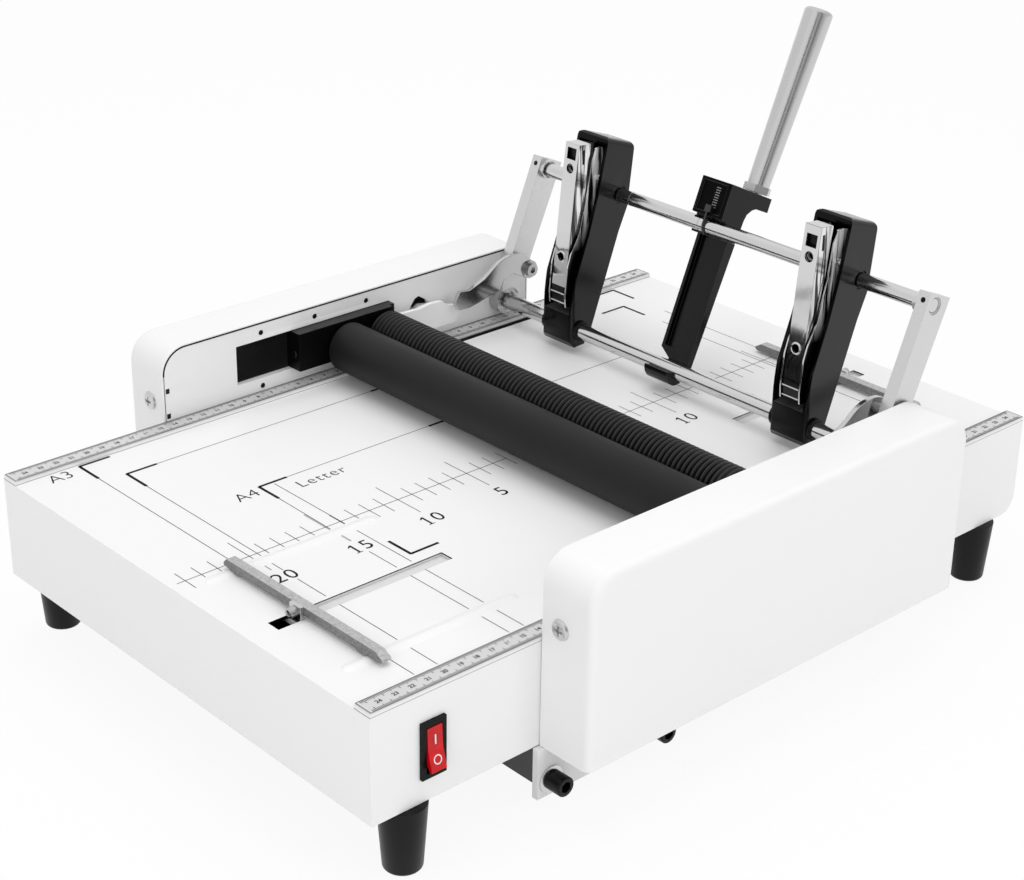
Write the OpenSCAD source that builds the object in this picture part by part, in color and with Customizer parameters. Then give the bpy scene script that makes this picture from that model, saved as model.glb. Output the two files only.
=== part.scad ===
// Booklet maker: sheet metal bed, side housings, folding rollers and a stapling lever.
// X runs across the machine, -Y is the front, Z is up, and the feet stand on Z = 0.
// Left and right pieces share one module, mirrored in X.

/* [Bed] */
// Width of the bed housing
bed_w = 325; // [300:1:400]
// Length of the bed housing
bed_l = 500; // [440:1:600]
// Height of the bed housing
bed_h = 60; // [55:1:90]
// Sheet thickness of the bed housing
bed_t = 2; // [1.5:0.5:3]
// Height of a foot
foot_h = 38; // [30:1:60]
// Top radius of a foot
foot_r = 12.8; // [10:0.1:16]
// Foot centre in from the bed side
foot_in = 8; // [8:0.5:30]
// Radius of the rear lower edge of the bed
bed_r = 11; // [6:0.5:14]
// Foot centre in from the bed end
foot_end = 25; // [18:0.5:60]

/* [Side plates and covers] */
// Thickness of a side plate
plate_t = 4; // [3:0.5:6]
// Height of a side plate above the bed
plate_top = 45.8; // [44:0.1:60]
// Reach of a side plate below the bed
plate_drop = 29.5; // [20:0.5:33]
// Front edge of a side plate from the fold line
plate_front = 141.6; // [130:0.1:160]
// Rear edge of a side plate from the fold line
plate_rear = 143.4; // [130:0.1:160]
// Corner radius of a side plate
plate_r = 15; // [8:0.5:25]
// Width of a side cover
cover_w = 34.7; // [32:0.1:60]
// Sheet thickness of a side cover
cover_t = 1.2; // [0.8:0.1:2]
// Gap between a side plate and its cover
cover_gap = 0.6; // [0.3:0.1:1]

/* [Rulers] */
// Width of a ruler
rule_w = 12; // [8:0.5:16]
// Thickness of a ruler
rule_t = 2.6; // [1:0.1:3]

/* [Rollers and carriage] */
// Radius of the smooth roller
froll_r = 15.6; // [12:0.1:16]
// Smooth roller axis in front of the fold line
froll_y = 14; // [12:0.1:20]
// Radius of the ribbed roller
rroll_r = 15; // [12:0.1:15.4]
// Roller axis height above the bed
roll_z = 19; // [18.8:0.1:22]
// Gap between a roller end and its side bar
roll_gap = 1.7; // [1:0.1:4]
// Radius of a roller shaft
rshaft_r = 4; // [3:0.5:5]
// Width of a carriage side bar inside its plate
bar_w = 8.3; // [7:0.1:9]
// Height of a carriage side bar
bar_h = 24.4; // [20:0.1:28]
// Front end of a carriage side bar
bar_front = 50; // [44:0.5:56]
// Rear end of a carriage side bar
bar_rear = 26.7; // [22:0.1:30]
// Forward travel of the carriage
travel = 40; // [20:1:45]
// Length of a push link behind its bar
link_l = 53.3; // [30:0.1:60]

/* [Lever frame] */
// Lower rod distance behind the fold line
pivot_y = 120; // [112:0.5:130]
// Lower rod height above the bed
pivot_z = 14.5; // [14:0.1:20]
// Radius of the lower rod
lrod_r = 5; // [4:0.1:5.5]
// Radius of the upper rod
urod_r = 4.5; // [3:0.1:5]
// Distance between the two rods
rod_gap = 89.6; // [80:0.1:100]
// Backward lean of the lever at rest
lean = 22.3; // [10:0.1:30]
// Width of a lever arm
arm_w = 19.5; // [17:0.5:22]
// Thickness of a lever arm
arm_t = 8; // [4:0.5:8.5]
// Inner face of a lever arm in from the bed side
arm_in = 9.5; // [9:0.1:10]
// Reach of a lever arm past the upper rod
arm_top = 6.5; // [6:0.5:16]
// Upper rod's place ahead of the middle of the arms
urod_off = 2.6; // [0:0.1:4]
// Radius of a rod collar
collar_r = 9; // [8.5:0.1:10]
// Height of a cam plate over the lower rod
cam_rad = 34; // [30:0.5:36]
// Reach of a cam plate's beak
beak_r = 53.4; // [50:0.1:54]
// Thickness of a cam plate
cam_t = 3; // [2:0.5:3]

/* [Stapling heads] */
// Distance of a stapling head from the middle
head_x = 97; // [70:0.5:110]
// Left side of a stapling head from its middle
head_l = 15.6; // [13:0.1:17]
// Right side of a stapling head from its middle
head_r = 11.5; // [10:0.1:14]
// Wall of a stapling head body
head_t = 2.4; // [1.5:0.1:3]
// Width of a magazine
mag_w = 12; // [10:0.5:15]

/* [Handle] */
// Middle of the centre bar across the machine
bar_x = -9.8; // [-20:0.1:20]
// Width of the centre bar
cbar_w = 24.6; // [18:0.1:30]
// Width of the hook on the lower rod
hook_w = 19.1; // [14:0.1:24]
// Length of the steel grip
grip_l = 116; // [80:1:150]
// Radius of the grip at its top
grip_r = 8.9; // [7:0.1:11]
// Radius of the grip at its base
grip_base_r = 6.9; // [5:0.1:8]
// Extra lean of the grip
grip_lean = 2.2; // [0:0.1:5]

/* [Paper stops] */
// Length of a stop bar
stop_l = 129.5; // [90:0.5:140]
// Width of a stop bar
stop_w = 6; // [5:0.5:8]
// Height of a stop bar above the bed
stop_h = 5.6; // [4:0.1:8]
// Front slot centre across the machine
fslot_x = 66.3; // [50:0.1:75]
// Rear slot centre across the machine
rslot_x = 52; // [40:0.1:60]
// Width of a slot
slot_w = 9; // [7:0.5:12]
// Front stop face in from the bed end
fstop_in = 38.2; // [34:0.1:100]
// Rear stop face in from the bed end
rstop_in = 44; // [36:0.1:90]
// Length of a slot
slot_l = 112.4; // [100:0.1:116]
// Front slot end in from the bed end
slot_in = 16.4; // [12:0.1:24]
// Rear slot end in from the bed end
rslot_in = 18.9; // [12:0.1:24]

/* [Folding knife] */
// Lift of the folding knife
knife_lift = 14; // [8:1:15]
// Thickness of the folding knife
knife_t = 1.2; // [0.8:0.1:1.5]
// Distance of a knife rack from the middle
rack_x = 60; // [40:1:66]
// Length of the folding knife
knife_l = 286; // [240:1:288]
// Gear module of the drives
gear_m = 1; // [0.8:0.1:1.2]
// Teeth on the knife pinions
pin_n = 16; // [14:1:20]
// Teeth on the roller motor pinion
mot_n = 14; // [12:1:18]
// Width of a gear
gear_w = 6; // [4:0.5:8]

/* [Hidden] */
top = foot_h + bed_h;
hx = bed_w / 2;
hy = bed_l / 2;
rx = hx - rule_w;
rz = top + roll_z;
rroll_y = (froll_r + rroll_r + 0.4) - froll_y;
knife_y = (froll_r - froll_y + rroll_y - rroll_r) / 2;
pz = top + pivot_z;
cov_x0 = hx + 0.3;
cov_x1 = hx + 0.3 + cover_w;
cov_f = plate_front + cover_gap + cover_t;
cov_b = plate_rear + cover_gap + cover_t;
cov_top = plate_top + cover_gap + cover_t;
cam_x = rx - 0.5 - cam_t;
col_x0 = hx - 8.2;
col_x1 = hx - 0.3;
fit = 0.05;
bar_z0 = rz - bar_h / 2 + 4.3;
bar_z1 = bar_z0 + bar_h;
bar_x0 = hx - bar_w;
gear_n = 31;
gear_pr = (froll_y + rroll_y) / 2;
gm = 2 * gear_pr / gear_n;
gx0 = hx + plate_t + 4.5;
mot_y = -froll_y - gear_pr - gm * mot_n / 2;
rack_y = knife_y + knife_t / 2 + 8 + 1.25 * gear_m;
pin_y = rack_y + gear_m * pin_n / 2 + 0.02;
kn_z = top - 1;
pin_z = top - 37;
roll_l = 2 * (bar_x0 - roll_gap);
arm_x = hx - arm_in;
fstop_y = hy - fstop_in;
rstop_y = hy - rstop_in;
slot_f1 = hy - slot_in;
rslot_0 = hy - rslot_in - slot_l;
head_k = rod_gap / 89.6;
mag_y = pivot_y + 1.5 * head_k;
mag_z = pz + 21.5 * head_k;
tie_z = foot_h - 0.75 * plate_drop;
tie_y = [-plate_front + 3, -0.458 * plate_front];
cov_r = plate_r + cover_gap + cover_t;
sw_y = hy - 37;
sw_z = top - bed_h / 2 - 0.75;

// Shapes shared by the pieces
module box(x0, x1, y0, y1, z0, z1) {
  translate([x0, y0, z0]) cube([x1 - x0, y1 - y0, z1 - z0]);
}
module xcyl(x0, x1, y, z, r, fn = 48) {
  translate([x0, y, z]) rotate([0, 90, 0]) cylinder(h = x1 - x0, r = r, $fn = fn);
}
module ycyl(y0, y1, x, z, r, fn = 36) {
  translate([x, y0, z]) rotate([-90, 0, 0]) cylinder(h = y1 - y0, r = r, $fn = fn);
}
module zcyl(z0, z1, x, y, r, fn = 36) {
  translate([x, y, z0]) cylinder(h = z1 - z0, r = r, $fn = fn);
}
// An outline in Y and Z carried along X
module yz(x0, x1, pts) {
  translate([x0, 0, 0]) rotate([90, 0, 90]) linear_extrude(x1 - x0) polygon(pts);
}
module side(s) {
  if (s > 0) children();
  else mirror([1, 0, 0]) children();
}
// The lever's own frame: origin on the lower rod, Z along the arms
module lever() {
  translate([0, pivot_y, pz]) rotate([-lean, 0, 0]) children();
}
function arc(cy, cz, r, a0, a1, n = 8) =
  [for (i = [0:n]) [cy + r * cos(a0 + (a1 - a0) * i / n), cz + r * sin(a0 + (a1 - a0) * i / n)]];
// Side outline of the bed: d shrinks it on the closed sides
function bed_out(d) = concat([[-hy + d, foot_h - d], [-hy + d, top - d], [hy - d, top - d]],
  arc(hy - bed_r, foot_h + bed_r, bed_r - d, 0, -90), [[hy - bed_r, foot_h - d]]);
// Side outline of a cover: d shrinks it on all sides
function cover_out(d) = concat([[-cov_f + d, foot_h + 1.01 * d]],
  arc(-cov_f + cov_r, top + cov_top - cov_r, cov_r - d, 180, 90),
  arc(cov_b - cov_r, top + cov_top - cov_r, cov_r - d, 90, 0), [[cov_b - d, foot_h + 1.01 * d]]);
function plate_out() = concat(
  [[-plate_front - 5.8, foot_h - plate_drop], [-plate_front - 5.8, foot_h - 0.3],
   [-plate_front, foot_h - 0.3]],
  arc(-plate_front + plate_r, top + plate_top - plate_r, plate_r, 180, 90),
  arc(plate_rear - plate_r, top + plate_top - plate_r, plate_r, 90, 0),
  [[plate_rear, foot_h - 0.3], [plate_rear, foot_h - plate_drop]]);
// A stapling head's points: distance behind the fold line and height over the bed
function head(pts) = [for (p = pts) [pivot_y + (p[0] - 120) * head_k, pz + (p[1] - 14.5) * head_k]];
// Gear teeth as tapered flats, a little slim for backlash
function tooth(pr, m, a) = [
  for (q = [[-1.16, -1.25], [-0.68, 0], [-0.36, 0.95], [0.36, 0.95], [0.68, 0], [1.16, -1.25]])
    [(pr + q[1] * m) * cos(a + q[0] * m / pr * 57.2958),
     (pr + q[1] * m) * sin(a + q[0] * m / pr * 57.2958)]];
module gear(x0, x1, y, z, n, m, bore, turn = 0) {
  translate([x0, y, z]) rotate([90, 0, 90]) difference() {
    linear_extrude(x1 - x0)
      polygon([for (i = [0:n - 1]) for (p = tooth(n * m / 2, m, turn + i * 360 / n)) p]);
    translate([0, 0, -1]) cylinder(h = x1 - x0 + 2, r = bore, $fn = 36);
  }
}
module hex_sock(y0, y1, x, z, r) {
  translate([x, y0, z]) rotate([-90, 0, 0]) cylinder(h = y1 - y0, r = r, $fn = 6);
}

// Bed
module bed_shell() color([0.93, 0.93, 0.93]) difference() {
  yz(-hx, hx, bed_out(0));
  yz(-hx + bed_t, hx - bed_t, bed_out(bed_t));
  // paper stop slots
  box(fslot_x - slot_w / 2, fslot_x + slot_w / 2, -slot_f1, -slot_f1 + slot_l, top - 5, top + 1);
  box(rslot_x - slot_w / 2, rslot_x + slot_w / 2, rslot_0, rslot_0 + slot_l, top - 5, top + 1);
  // knife slits between and beside the anvils
  for (s = [-1, 1]) side(s)
    box(head_x + 15.2, knife_l / 2 + 1, knife_y - 1.2, knife_y + 1.2, top - 5, top + 1);
  box(-head_x + 15.2, head_x - 15.2, knife_y - 1.2, knife_y + 1.2, top - 5, top + 1);
  for (s = [-1, 1]) side(s) {
    // anvil windows and cam slots
    box(head_x - 13, head_x + 13, -8, 8, top - 5, top + 1);
    box(cam_x - 0.5, cam_x + cam_t + 0.4, pivot_y - beak_r - 0.6, pivot_y + cam_rad + 2, top - 5, top + 1);
  }
  // switch and inlet windows
  box(hx - 5, hx + 1, -sw_y - 6.5, -sw_y + 6.5, sw_z - 14.25, sw_z + 14.25);
  box(-110, -82, hy - 5, hy + 1, top - 48, top - 27);
  // cooling slots in the rear wall
  for (i = [0:7]) box(20 + i * 11, 24 + i * 11, hy - 5, hy + 1, top - 44, top - 22);
}
module bed_floor() color([0.25, 0.25, 0.26])
  box(-hx + bed_t, hx - bed_t, -hy + bed_t, hy - bed_r - 1, foot_h, foot_h + bed_t - 0.4);
module foot(x, y) color([0.06, 0.06, 0.07]) difference() {
  translate([x, y, 0]) cylinder(h = foot_h, r1 = foot_r - 2.5, r2 = foot_r, $fn = 48);
  zcyl(-1, 10, x, y, 4.5);
}
module foot_fl() foot(-hx + foot_in, -hy + foot_end);
module foot_fr() foot(hx - foot_in, -hy + foot_end);
module foot_rl() foot(-hx + foot_in, hy - foot_end - 4);
module foot_rr() foot(hx - foot_in, hy - foot_end - 4);

// Side plates, covers and what holds them
module side_plate(s) color([0.9, 0.9, 0.91]) side(s) {
  difference() {
    yz(hx, hx + plate_t, plate_out());
    box(hx - 1, hx + plate_t + 1, -bar_front - travel - 0.5, bar_rear + 0.3, bar_z0 - 0.3, bar_z1 + 0.3);
    yz(hx - 1, hx + plate_t + 1, [[42.2, top + 24], [47.6, top + 31.4], [51, top + 32.6],
      [59.2, top + 27.2], [60.1, top + 24.6], [52.6, top + 25.9], [49.4, top + 24.2]]);
    xcyl(hx - 1, hx + plate_t + 1, pivot_y, pz, lrod_r + fit);
    for (p = [[-72, 40.3], [-31.6, 40.3], [8.5, 40.3], [-72, 5.7]])
      xcyl(hx - 1, hx + 1.6, p[0], top + p[1], 1.7, 24);
    for (y = tie_y) xcyl(hx - 1, hx + plate_t + 1, y, tie_z, 2.5, 24);
    for (z = [5.3, 21.3]) box(hx - 1, hx + 1.5, -plate_front + 0.4, -plate_front + 3, top + z - 1.6, top + z + 1.6);
  }
  // tabs the cover screws bite into
  for (y = [-plate_front, plate_rear - 2]) difference() {
    box(hx + plate_t, hx + plate_t + 16, y, y + 2, top + 2, top + 22);
    ycyl(y - 1, y + 3, hx + 13.5, top + 12, 2, 24);
  }
}
module side_plate_l() side_plate(-1);
module side_plate_r() side_plate(1);
module side_cover(s) color([0.95, 0.95, 0.95]) side(s) difference() {
  yz(cov_x0, cov_x1, cover_out(0));
  yz(cov_x0 - 1, cov_x1 - cover_t, cover_out(cover_t));
  box(cov_x0 - 1, hx + plate_t + 0.3, -cov_f + cover_t, cov_b - cover_t, foot_h - 1, foot_h + 3);
  for (y = [-cov_f - 1, cov_b - 3]) ycyl(y, y + 4, hx + 13.5, top + 12, 2.1, 24);
}
module side_cover_l() side_cover(-1);
module side_cover_r() side_cover(1);
module ruler(s) color([0.75, 0.75, 0.76]) side(s) box(rx, hx, -hy, hy, top, top + rule_t);
module ruler_l() ruler(-1);
module ruler_r() ruler(1);
module cover_screws() color([0.8, 0.8, 0.8])
  for (s = [-1, 1]) side(s) for (e = [-1, 1]) {
    y0 = e < 0 ? -cov_f : cov_b;
    difference() {
      translate([hx + 13.5, y0, top + 12]) rotate([e < 0 ? 90 : -90, 0, 0]) {
        cylinder(h = 2.2, r1 = 5.6, r2 = 3.6, $fn = 36);
        translate([0, 0, -5]) cylinder(h = 5, r = 2, $fn = 24);
      }
      box(hx + 12.8, hx + 14.2, y0 + e * 2.2 - 0.9, y0 + e * 2.2 + 0.9, top + 9.1, top + 14.9);
      box(hx + 10.6, hx + 16.4, y0 + e * 2.2 - 0.9, y0 + e * 2.2 + 0.9, top + 11.3, top + 12.7);
    }
  }
module tie_screws() color([0.05, 0.05, 0.05])
  for (s = [-1, 1]) side(s) for (y = tie_y) {
    difference() {
      union() {
        xcyl(hx + plate_t, hx + plate_t + 1.2, y, tie_z, 7);
        xcyl(hx + plate_t + 1.2, hx + plate_t + 12, y, tie_z, 6);
        xcyl(hx, hx + plate_t, y, tie_z, 2.5, 24);
      }
      translate([hx + plate_t + 7, y, tie_z]) rotate([0, 90, 0]) cylinder(h = 6, r = 3.2, $fn = 6);
    }
  }
module cross_panel() color([0.04, 0.04, 0.04]) {
  box(-hx, hx, -plate_front - 5.8, plate_rear - 2, foot_h - 2.5, foot_h - 0.4);
  box(-hx, hx, -plate_front - 5.8, -plate_front - 3.8, foot_h - 21, foot_h - 2.5);
  box(-hx, hx, plate_rear - 4, plate_rear - 2, foot_h - 21, foot_h - 2.5);
}
module anvils() color([0.7, 0.7, 0.72]) for (s = [-1, 1]) side(s) difference() {
  union() {
    box(head_x - 13, head_x + 13, -8, 8, top - 4, top + 0.6);
    box(head_x - 13, head_x + 13, -11, 11, top - 4, top - 2);
  }
  for (d = [-3.4, 3.4]) translate([head_x + d, 0, top + 1.6]) rotate([0, 90, 0])
    translate([0, 0, -2.6]) cylinder(h = 5.2, r = 1.7, $fn = 24);
}
module switch_bezel() color([0.05, 0.05, 0.05]) difference() {
  union() {
    box(hx, hx + 2, -sw_y - 7.6, -sw_y + 7.5, sw_z - 15.75, sw_z + 15.75);
    box(hx - 16, hx, -sw_y - 6.3, -sw_y + 6.3, sw_z - 14.05, sw_z + 14.05);
  }
  box(hx - 12, hx + 3, -sw_y - 5, -sw_y + 5, sw_z - 12.85, sw_z + 12.85);
  ycyl(-sw_y - 6, -sw_y + 6, hx, sw_z, 1.2 + fit, 24);
}
module rocker() color([0.75, 0.05, 0.05]) {
  ycyl(-sw_y - 5.8, -sw_y + 5.8, hx, sw_z, 1.2, 24);
  translate([hx, 0, sw_z]) rotate([90, 0, 0]) translate([0, 0, sw_y - 4.6]) linear_extrude(9.2)
    polygon([[-5, 0], [1.2, 12.15], [2.2, 12.35], [2.8, 0], [5.8, -10.65], [4.4, -11.25], [-3, -3.25]]);
}
module power_inlet() color([0.05, 0.05, 0.05]) difference() {
  union() {
    box(-110, -82, hy - 20, hy, top - 48, top - 27);
  }
  box(-107, -85, hy - 16, hy + 1, top - 45, top - 30);
}

// Folding knife and its drive, inside the bed
module knife_blade() color([0.7, 0.7, 0.72]) difference() {
  box(-knife_l / 2, knife_l / 2, knife_y - knife_t / 2, knife_y + knife_t / 2, kn_z - 34, kn_z);
  for (s = [-1, 1]) side(s)
    box(head_x - 15.8, head_x + 15.8, knife_y - 3, knife_y + 3, kn_z - knife_lift - 7, kn_z + 1);
}
module knife_rack() color([0.35, 0.35, 0.37]) {
  box(-knife_l / 2 + 7, knife_l / 2 - 7, knife_y + knife_t / 2, knife_y + knife_t / 2 + 6, kn_z - 34, kn_z - 22);
  for (x = [-rack_x, rack_x]) translate([x - gear_w / 2, 0, 0]) rotate([90, 0, 90]) linear_extrude(gear_w)
    polygon(concat([[knife_y + knife_t / 2 + 6, pin_z + 13], [knife_y + knife_t / 2 + 6, pin_z - 17]],
      [for (i = [-4:3]) for (q = [[-1.16, -1.25], [-0.68, 0], [-0.36, 0.95], [0.36, 0.95], [0.68, 0], [1.16, -1.25]])
        [rack_y + q[1] * gear_m, pin_z + (i * 3.14159 + 0.5 * 3.14159 + q[0]) * gear_m]],
      [[rack_y - 1.25 * gear_m, pin_z + 13]]));
}
module knife_shaft() color([0.6, 0.6, 0.62]) {
  for (x = [-rack_x, rack_x]) gear(x - gear_w / 2, x + gear_w / 2, pin_y, pin_z, pin_n, gear_m, 3, 0);
  xcyl(-rack_x - 18, rack_x + 24, pin_y, pin_z, 3);
}
module knife_frame() color([0.3, 0.3, 0.32]) {
  for (x = [-rack_x - 12, rack_x + 12]) difference() {
    box(x - 3, x + 3, pin_y - 8, pin_y + 8, foot_h + bed_t - 0.4, pin_z + 7);
    xcyl(x - 4, x + 4, pin_y, pin_z, 3 + fit);
  }
  // guide posts the rack carrier slides between
  for (x = [-knife_l / 2 + 12, knife_l / 2 - 12]) {
    box(x - 5, x + 5, knife_y + knife_t / 2 + 6.3, knife_y + knife_t / 2 + 9, foot_h + bed_t - 0.4, top - 12);
    box(x - 5, x + 5, knife_y - knife_t / 2 - 3, knife_y - knife_t / 2 - 0.3, foot_h + bed_t - 0.4, top - 12);
  }
}
module knife_motor() color([0.25, 0.25, 0.27]) difference() {
  union() {
    xcyl(rack_x + 20, rack_x + 64, pin_y, pin_z, 10.6);
    box(rack_x + 24, rack_x + 60, pin_y - 8, pin_y + 8, foot_h + bed_t - 0.4, pin_z - 6);
  }
  xcyl(rack_x + 19, rack_x + 30, pin_y, pin_z, 3 + fit);
}

// Roller carriage
module carriage_bar(s) color([0.08, 0.08, 0.08]) side(s) difference() {
  union() {
    box(bar_x0, hx + plate_t + 0.3, -bar_front, bar_rear, bar_z0, bar_z1);
    box(hx + plate_t + 0.3, hx + plate_t + 1.8, -bar_front + 2, bar_rear - 2, bar_z0 - 2, bar_z1 + 2);
  }
  xcyl(bar_x0 - 1, hx + plate_t + 3, -froll_y, rz, rshaft_r + fit);
  xcyl(bar_x0 - 1, hx + plate_t + 3, rroll_y, rz, rshaft_r + fit);
  ycyl(-bar_front - 1, -bar_front + 2, bar_x0 + 5, rz + 2.4, 2.2, 24);
  box(bar_x0 - 1, bar_x0 + 3, bar_rear - 4, bar_rear + 1, bar_z0 - 1, bar_z1 + 1);
}
module carriage_bar_l() carriage_bar(-1);
module carriage_bar_r() carriage_bar(1);
module push_links() color([0.75, 0.75, 0.76]) for (s = [-1, 1]) side(s) {
  e = bar_rear + link_l;
  yz(bar_x0, bar_x0 + 3, [[bar_rear - 4, bar_z0], [bar_rear - 4, top + 28.6], [e - 44, top + 28],
    [e - 35, top + 27.7], [e - 26.6, top + 29], [e - 18.2, top + 28.6], [e - 15.7, top + 28],
    [e - 13.2, top + 25.6], [e - 9.8, top + 24], [e - 3.9, top + 22.8], [e, top + 18.6], [e - 6, bar_z0]]);
}
module roller(y, r) {
  xcyl(-roll_l / 2, roll_l / 2, y, rz, r, 72);
  xcyl(-hx - plate_t - 1.8, gx0 + gear_w, y, rz, rshaft_r, 48);
}
module roller_front() color([0.08, 0.08, 0.08]) roller(-froll_y, froll_r);
module roller_rear() color([0.06, 0.06, 0.06]) roller(rroll_y, rroll_r);
module gear_front() color([0.6, 0.58, 0.5])
  gear(gx0, gx0 + gear_w, -froll_y, rz, gear_n, gm, rshaft_r, 0);
module gear_rear() color([0.6, 0.58, 0.5])
  gear(gx0, gx0 + gear_w, rroll_y, rz, gear_n, gm, rshaft_r, 0);
module motor_pinion() color([0.6, 0.58, 0.5]) {
  gear(gx0, gx0 + gear_w, mot_y, rz, mot_n, gm, 1.5, 0);
  xcyl(gx0 - 0.5, gx0 + gear_w + 4, mot_y, rz, 1.5, 24);
}
module roller_motor() color([0.25, 0.25, 0.27]) difference() {
  union() {
    box(gx0 + gear_w + 1, gx0 + gear_w + 2.5, mot_y - 14, mot_y + 12, rz - 12, rz + 12);
    xcyl(gx0 + gear_w + 2.5, cov_x1 - cover_t - 1.5, mot_y, rz, 11);
    for (d = [-10.5, 9]) xcyl(hx + plate_t + 1.8, gx0 + gear_w + 1, -bar_front + 4.6, rz + d + 4.3, 2.2, 24);
  }
  xcyl(gx0, gx0 + gear_w + 6, mot_y, rz, 1.5 + fit, 24);
}

// Lever frame: the lower rod turns in the side plates and carries all of it
module lower_rod() color([0.8, 0.8, 0.8]) xcyl(-hx - plate_t, hx + plate_t, pivot_y, pz, lrod_r);
module rod_collars() color([0.82, 0.82, 0.82]) for (s = [-1, 1]) side(s) difference() {
  xcyl(col_x0, col_x1, pivot_y, pz, collar_r);
  xcyl(col_x0 - 1, col_x1 + 1, pivot_y, pz, lrod_r);
  // ring groove in the open face
  difference() {
    xcyl(col_x0 - 1, col_x0 + 1.6, pivot_y, pz, lrod_r + 1.6);
    xcyl(col_x0 - 2, col_x0 + 2, pivot_y, pz, lrod_r);
  }
  translate([col_x1 - 2.2, pivot_y, pz]) rotate([55, 0, 0]) translate([0, 0, lrod_r + 0.5])
    cylinder(h = 6, r = 1.4, $fn = 24);
}
// An arm stands on its collar and holds the end of the upper rod
module arm(s) color([0.82, 0.82, 0.83]) side(s) lever() difference() {
  union() {
    yz(arm_x, arm_x + arm_t, [[-arm_w / 2, rod_gap + arm_top], [-arm_w / 2, 8.5], [-7.6, 4.7], [0, 2], [6.2, 5],
      [arm_w / 2 - 3.2, 6.4], [arm_w / 2 - 0.7, rod_gap + arm_top]]);
    xcyl(arm_x - 3, arm_x, -urod_off, rod_gap, urod_r + 1.8);
  }
  xcyl(arm_x - 1, arm_x + arm_t + 1, 0, 0, collar_r);
  xcyl(arm_x - 4, arm_x + arm_t + 1, -urod_off, rod_gap, urod_r);
  xcyl(arm_x - 4, arm_x - 1.2, -urod_off, rod_gap, urod_r + 1);
  xcyl(arm_x + arm_t - 1, arm_x + arm_t + 1, -urod_off, rod_gap, urod_r + 0.9);
  ycyl(-arm_w / 2 - 1, -urod_off - urod_r + 0.5, arm_x + arm_t / 2, rod_gap + 1.5, 1.6, 24);
}
module arm_l() arm(-1);
module arm_r() arm(1);
// A cam plate is a crescent on spacers beside its arm
module cam(s) color([0.85, 0.85, 0.86]) side(s) translate([0, pivot_y, pz]) difference() {
  yz(cam_x, cam_x + cam_t, [[6 - beak_r, 19.8], [-39.2, 18.8], [-30.7, 21.9], [-26.4, 23.6], [-22.1, 26.3],
    [-17.9, 29.4], [-13.6, 31.9], [-9.3, cam_rad - 0.6], [-5, cam_rad], [-0.6, cam_rad + 0.2], [3.8, cam_rad - 0.4],
    [8.2, cam_rad - 2.2], [12.7, 28.3], [17, 23.4], [16.8, 18], [12.2, 15.6], [8, 15.8], [4.1, 18.5],
    [-1.2, 21.2], [-6.5, 20.7], [-9.9, 18.8], [-12.5, 14.6], [-13.8, 12.5], [-23.7, 10.3], [-30.5, 8.6],
    [-39.1, 6.9], [5 - beak_r, 7.4], [1.6 - beak_r, 12.8]]);
  xcyl(cam_x - 1, cam_x + cam_t + 1, 12.3, 21, 3);
}
module cam_l() cam(-1);
module cam_r() cam(1);
module cam_bolts() color([0.75, 0.75, 0.75]) for (s = [-1, 1]) side(s)
  translate([0, pivot_y, pz]) {
    xcyl(cam_x - 0.9, cam_x, 12.3, 21, 6);
    difference() {
      xcyl(cam_x - 3.4, cam_x - 0.9, 12.3, 21, 4.4);
      translate([cam_x - 4, 12.3, 21]) rotate([0, 90, 0]) cylinder(h = 2.2, r = 2.2, $fn = 6);
    }
    xcyl(cam_x, arm_x, 12.3, 21, 3);
    xcyl(cam_x + cam_t, arm_x, 12.3, 21, 5);
    xcyl(cam_x + cam_t, arm_x, 5, 27, 3.5);
  }
module upper_rod() color([0.8, 0.8, 0.8]) lever()
  xcyl(1 - arm_x - arm_t, arm_x + arm_t - 1, -urod_off, rod_gap, urod_r);

// Cutter that rounds the top corner of a head at x
module rim_round(x, d) translate([x, pivot_y + 22.6 * head_k, pz + 122.2 * head_k]) rotate([-18.5, 0, 0])
  translate([0, 30, 0]) rotate([90, 0, 0]) linear_extrude(60) polygon(concat([[d * -4, 1], [d, 1], [d, -4]],
    [for (i = [0:8]) [d * 4 * (cos(i * 11.25) - 1), 4 * (sin(i * 11.25) - 1)]]));
// Stapling heads: a deep black channel that holds a chrome magazine
module stapler(c) color([0.07, 0.07, 0.07]) difference() {
  intersection() {
    yz(c - head_l, c + head_r, head([[112.2, 8], [115.2, 4], [124, 4.6], [130, 14], [151.7, 74], [158.5, 89],
      [163, 128], [162.3, 130.1], [142.6, 136.7], [140, 136], [132.5, 101.5], [125.5, 77], [115.6, 50],
      [111.8, 26], [111.4, 15]]));
    translate([0, 0, top]) linear_extrude(160) polygon(concat([[c - head_l, 170]],
      arc(c - head_l + 4, 115.4, 4, 180, 270), arc(c + head_r - 4, 115.4, 4, 270, 360), [[c + head_r, 170]]));
  }
  yz(c - head_l + head_t, c + head_r - head_t, head([[105, 26], [126, 27], [148.6, 76],
    [155.6, 90], [159.8, 126.6], [141, 132.4], [120, 132.4]]));
  rim_round(c - head_l, -1);
  rim_round(c + head_r, 1);
  xcyl(c - 20, c + 20, pivot_y, pz, lrod_r);
  lever() {
    xcyl(c - 20, c + 20, -urod_off, rod_gap, urod_r);
    for (x = [c - head_l, c + head_r]) xcyl(x - 1, x + 1, -urod_off, rod_gap, urod_r + 1.1);
  }
  xcyl(c - head_l + 0.8, c + head_r - 0.8, mag_y, mag_z, 1.6 + fit, 24);
}
module stapler_l() stapler(-head_x);
module stapler_r() stapler(head_x);
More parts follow.
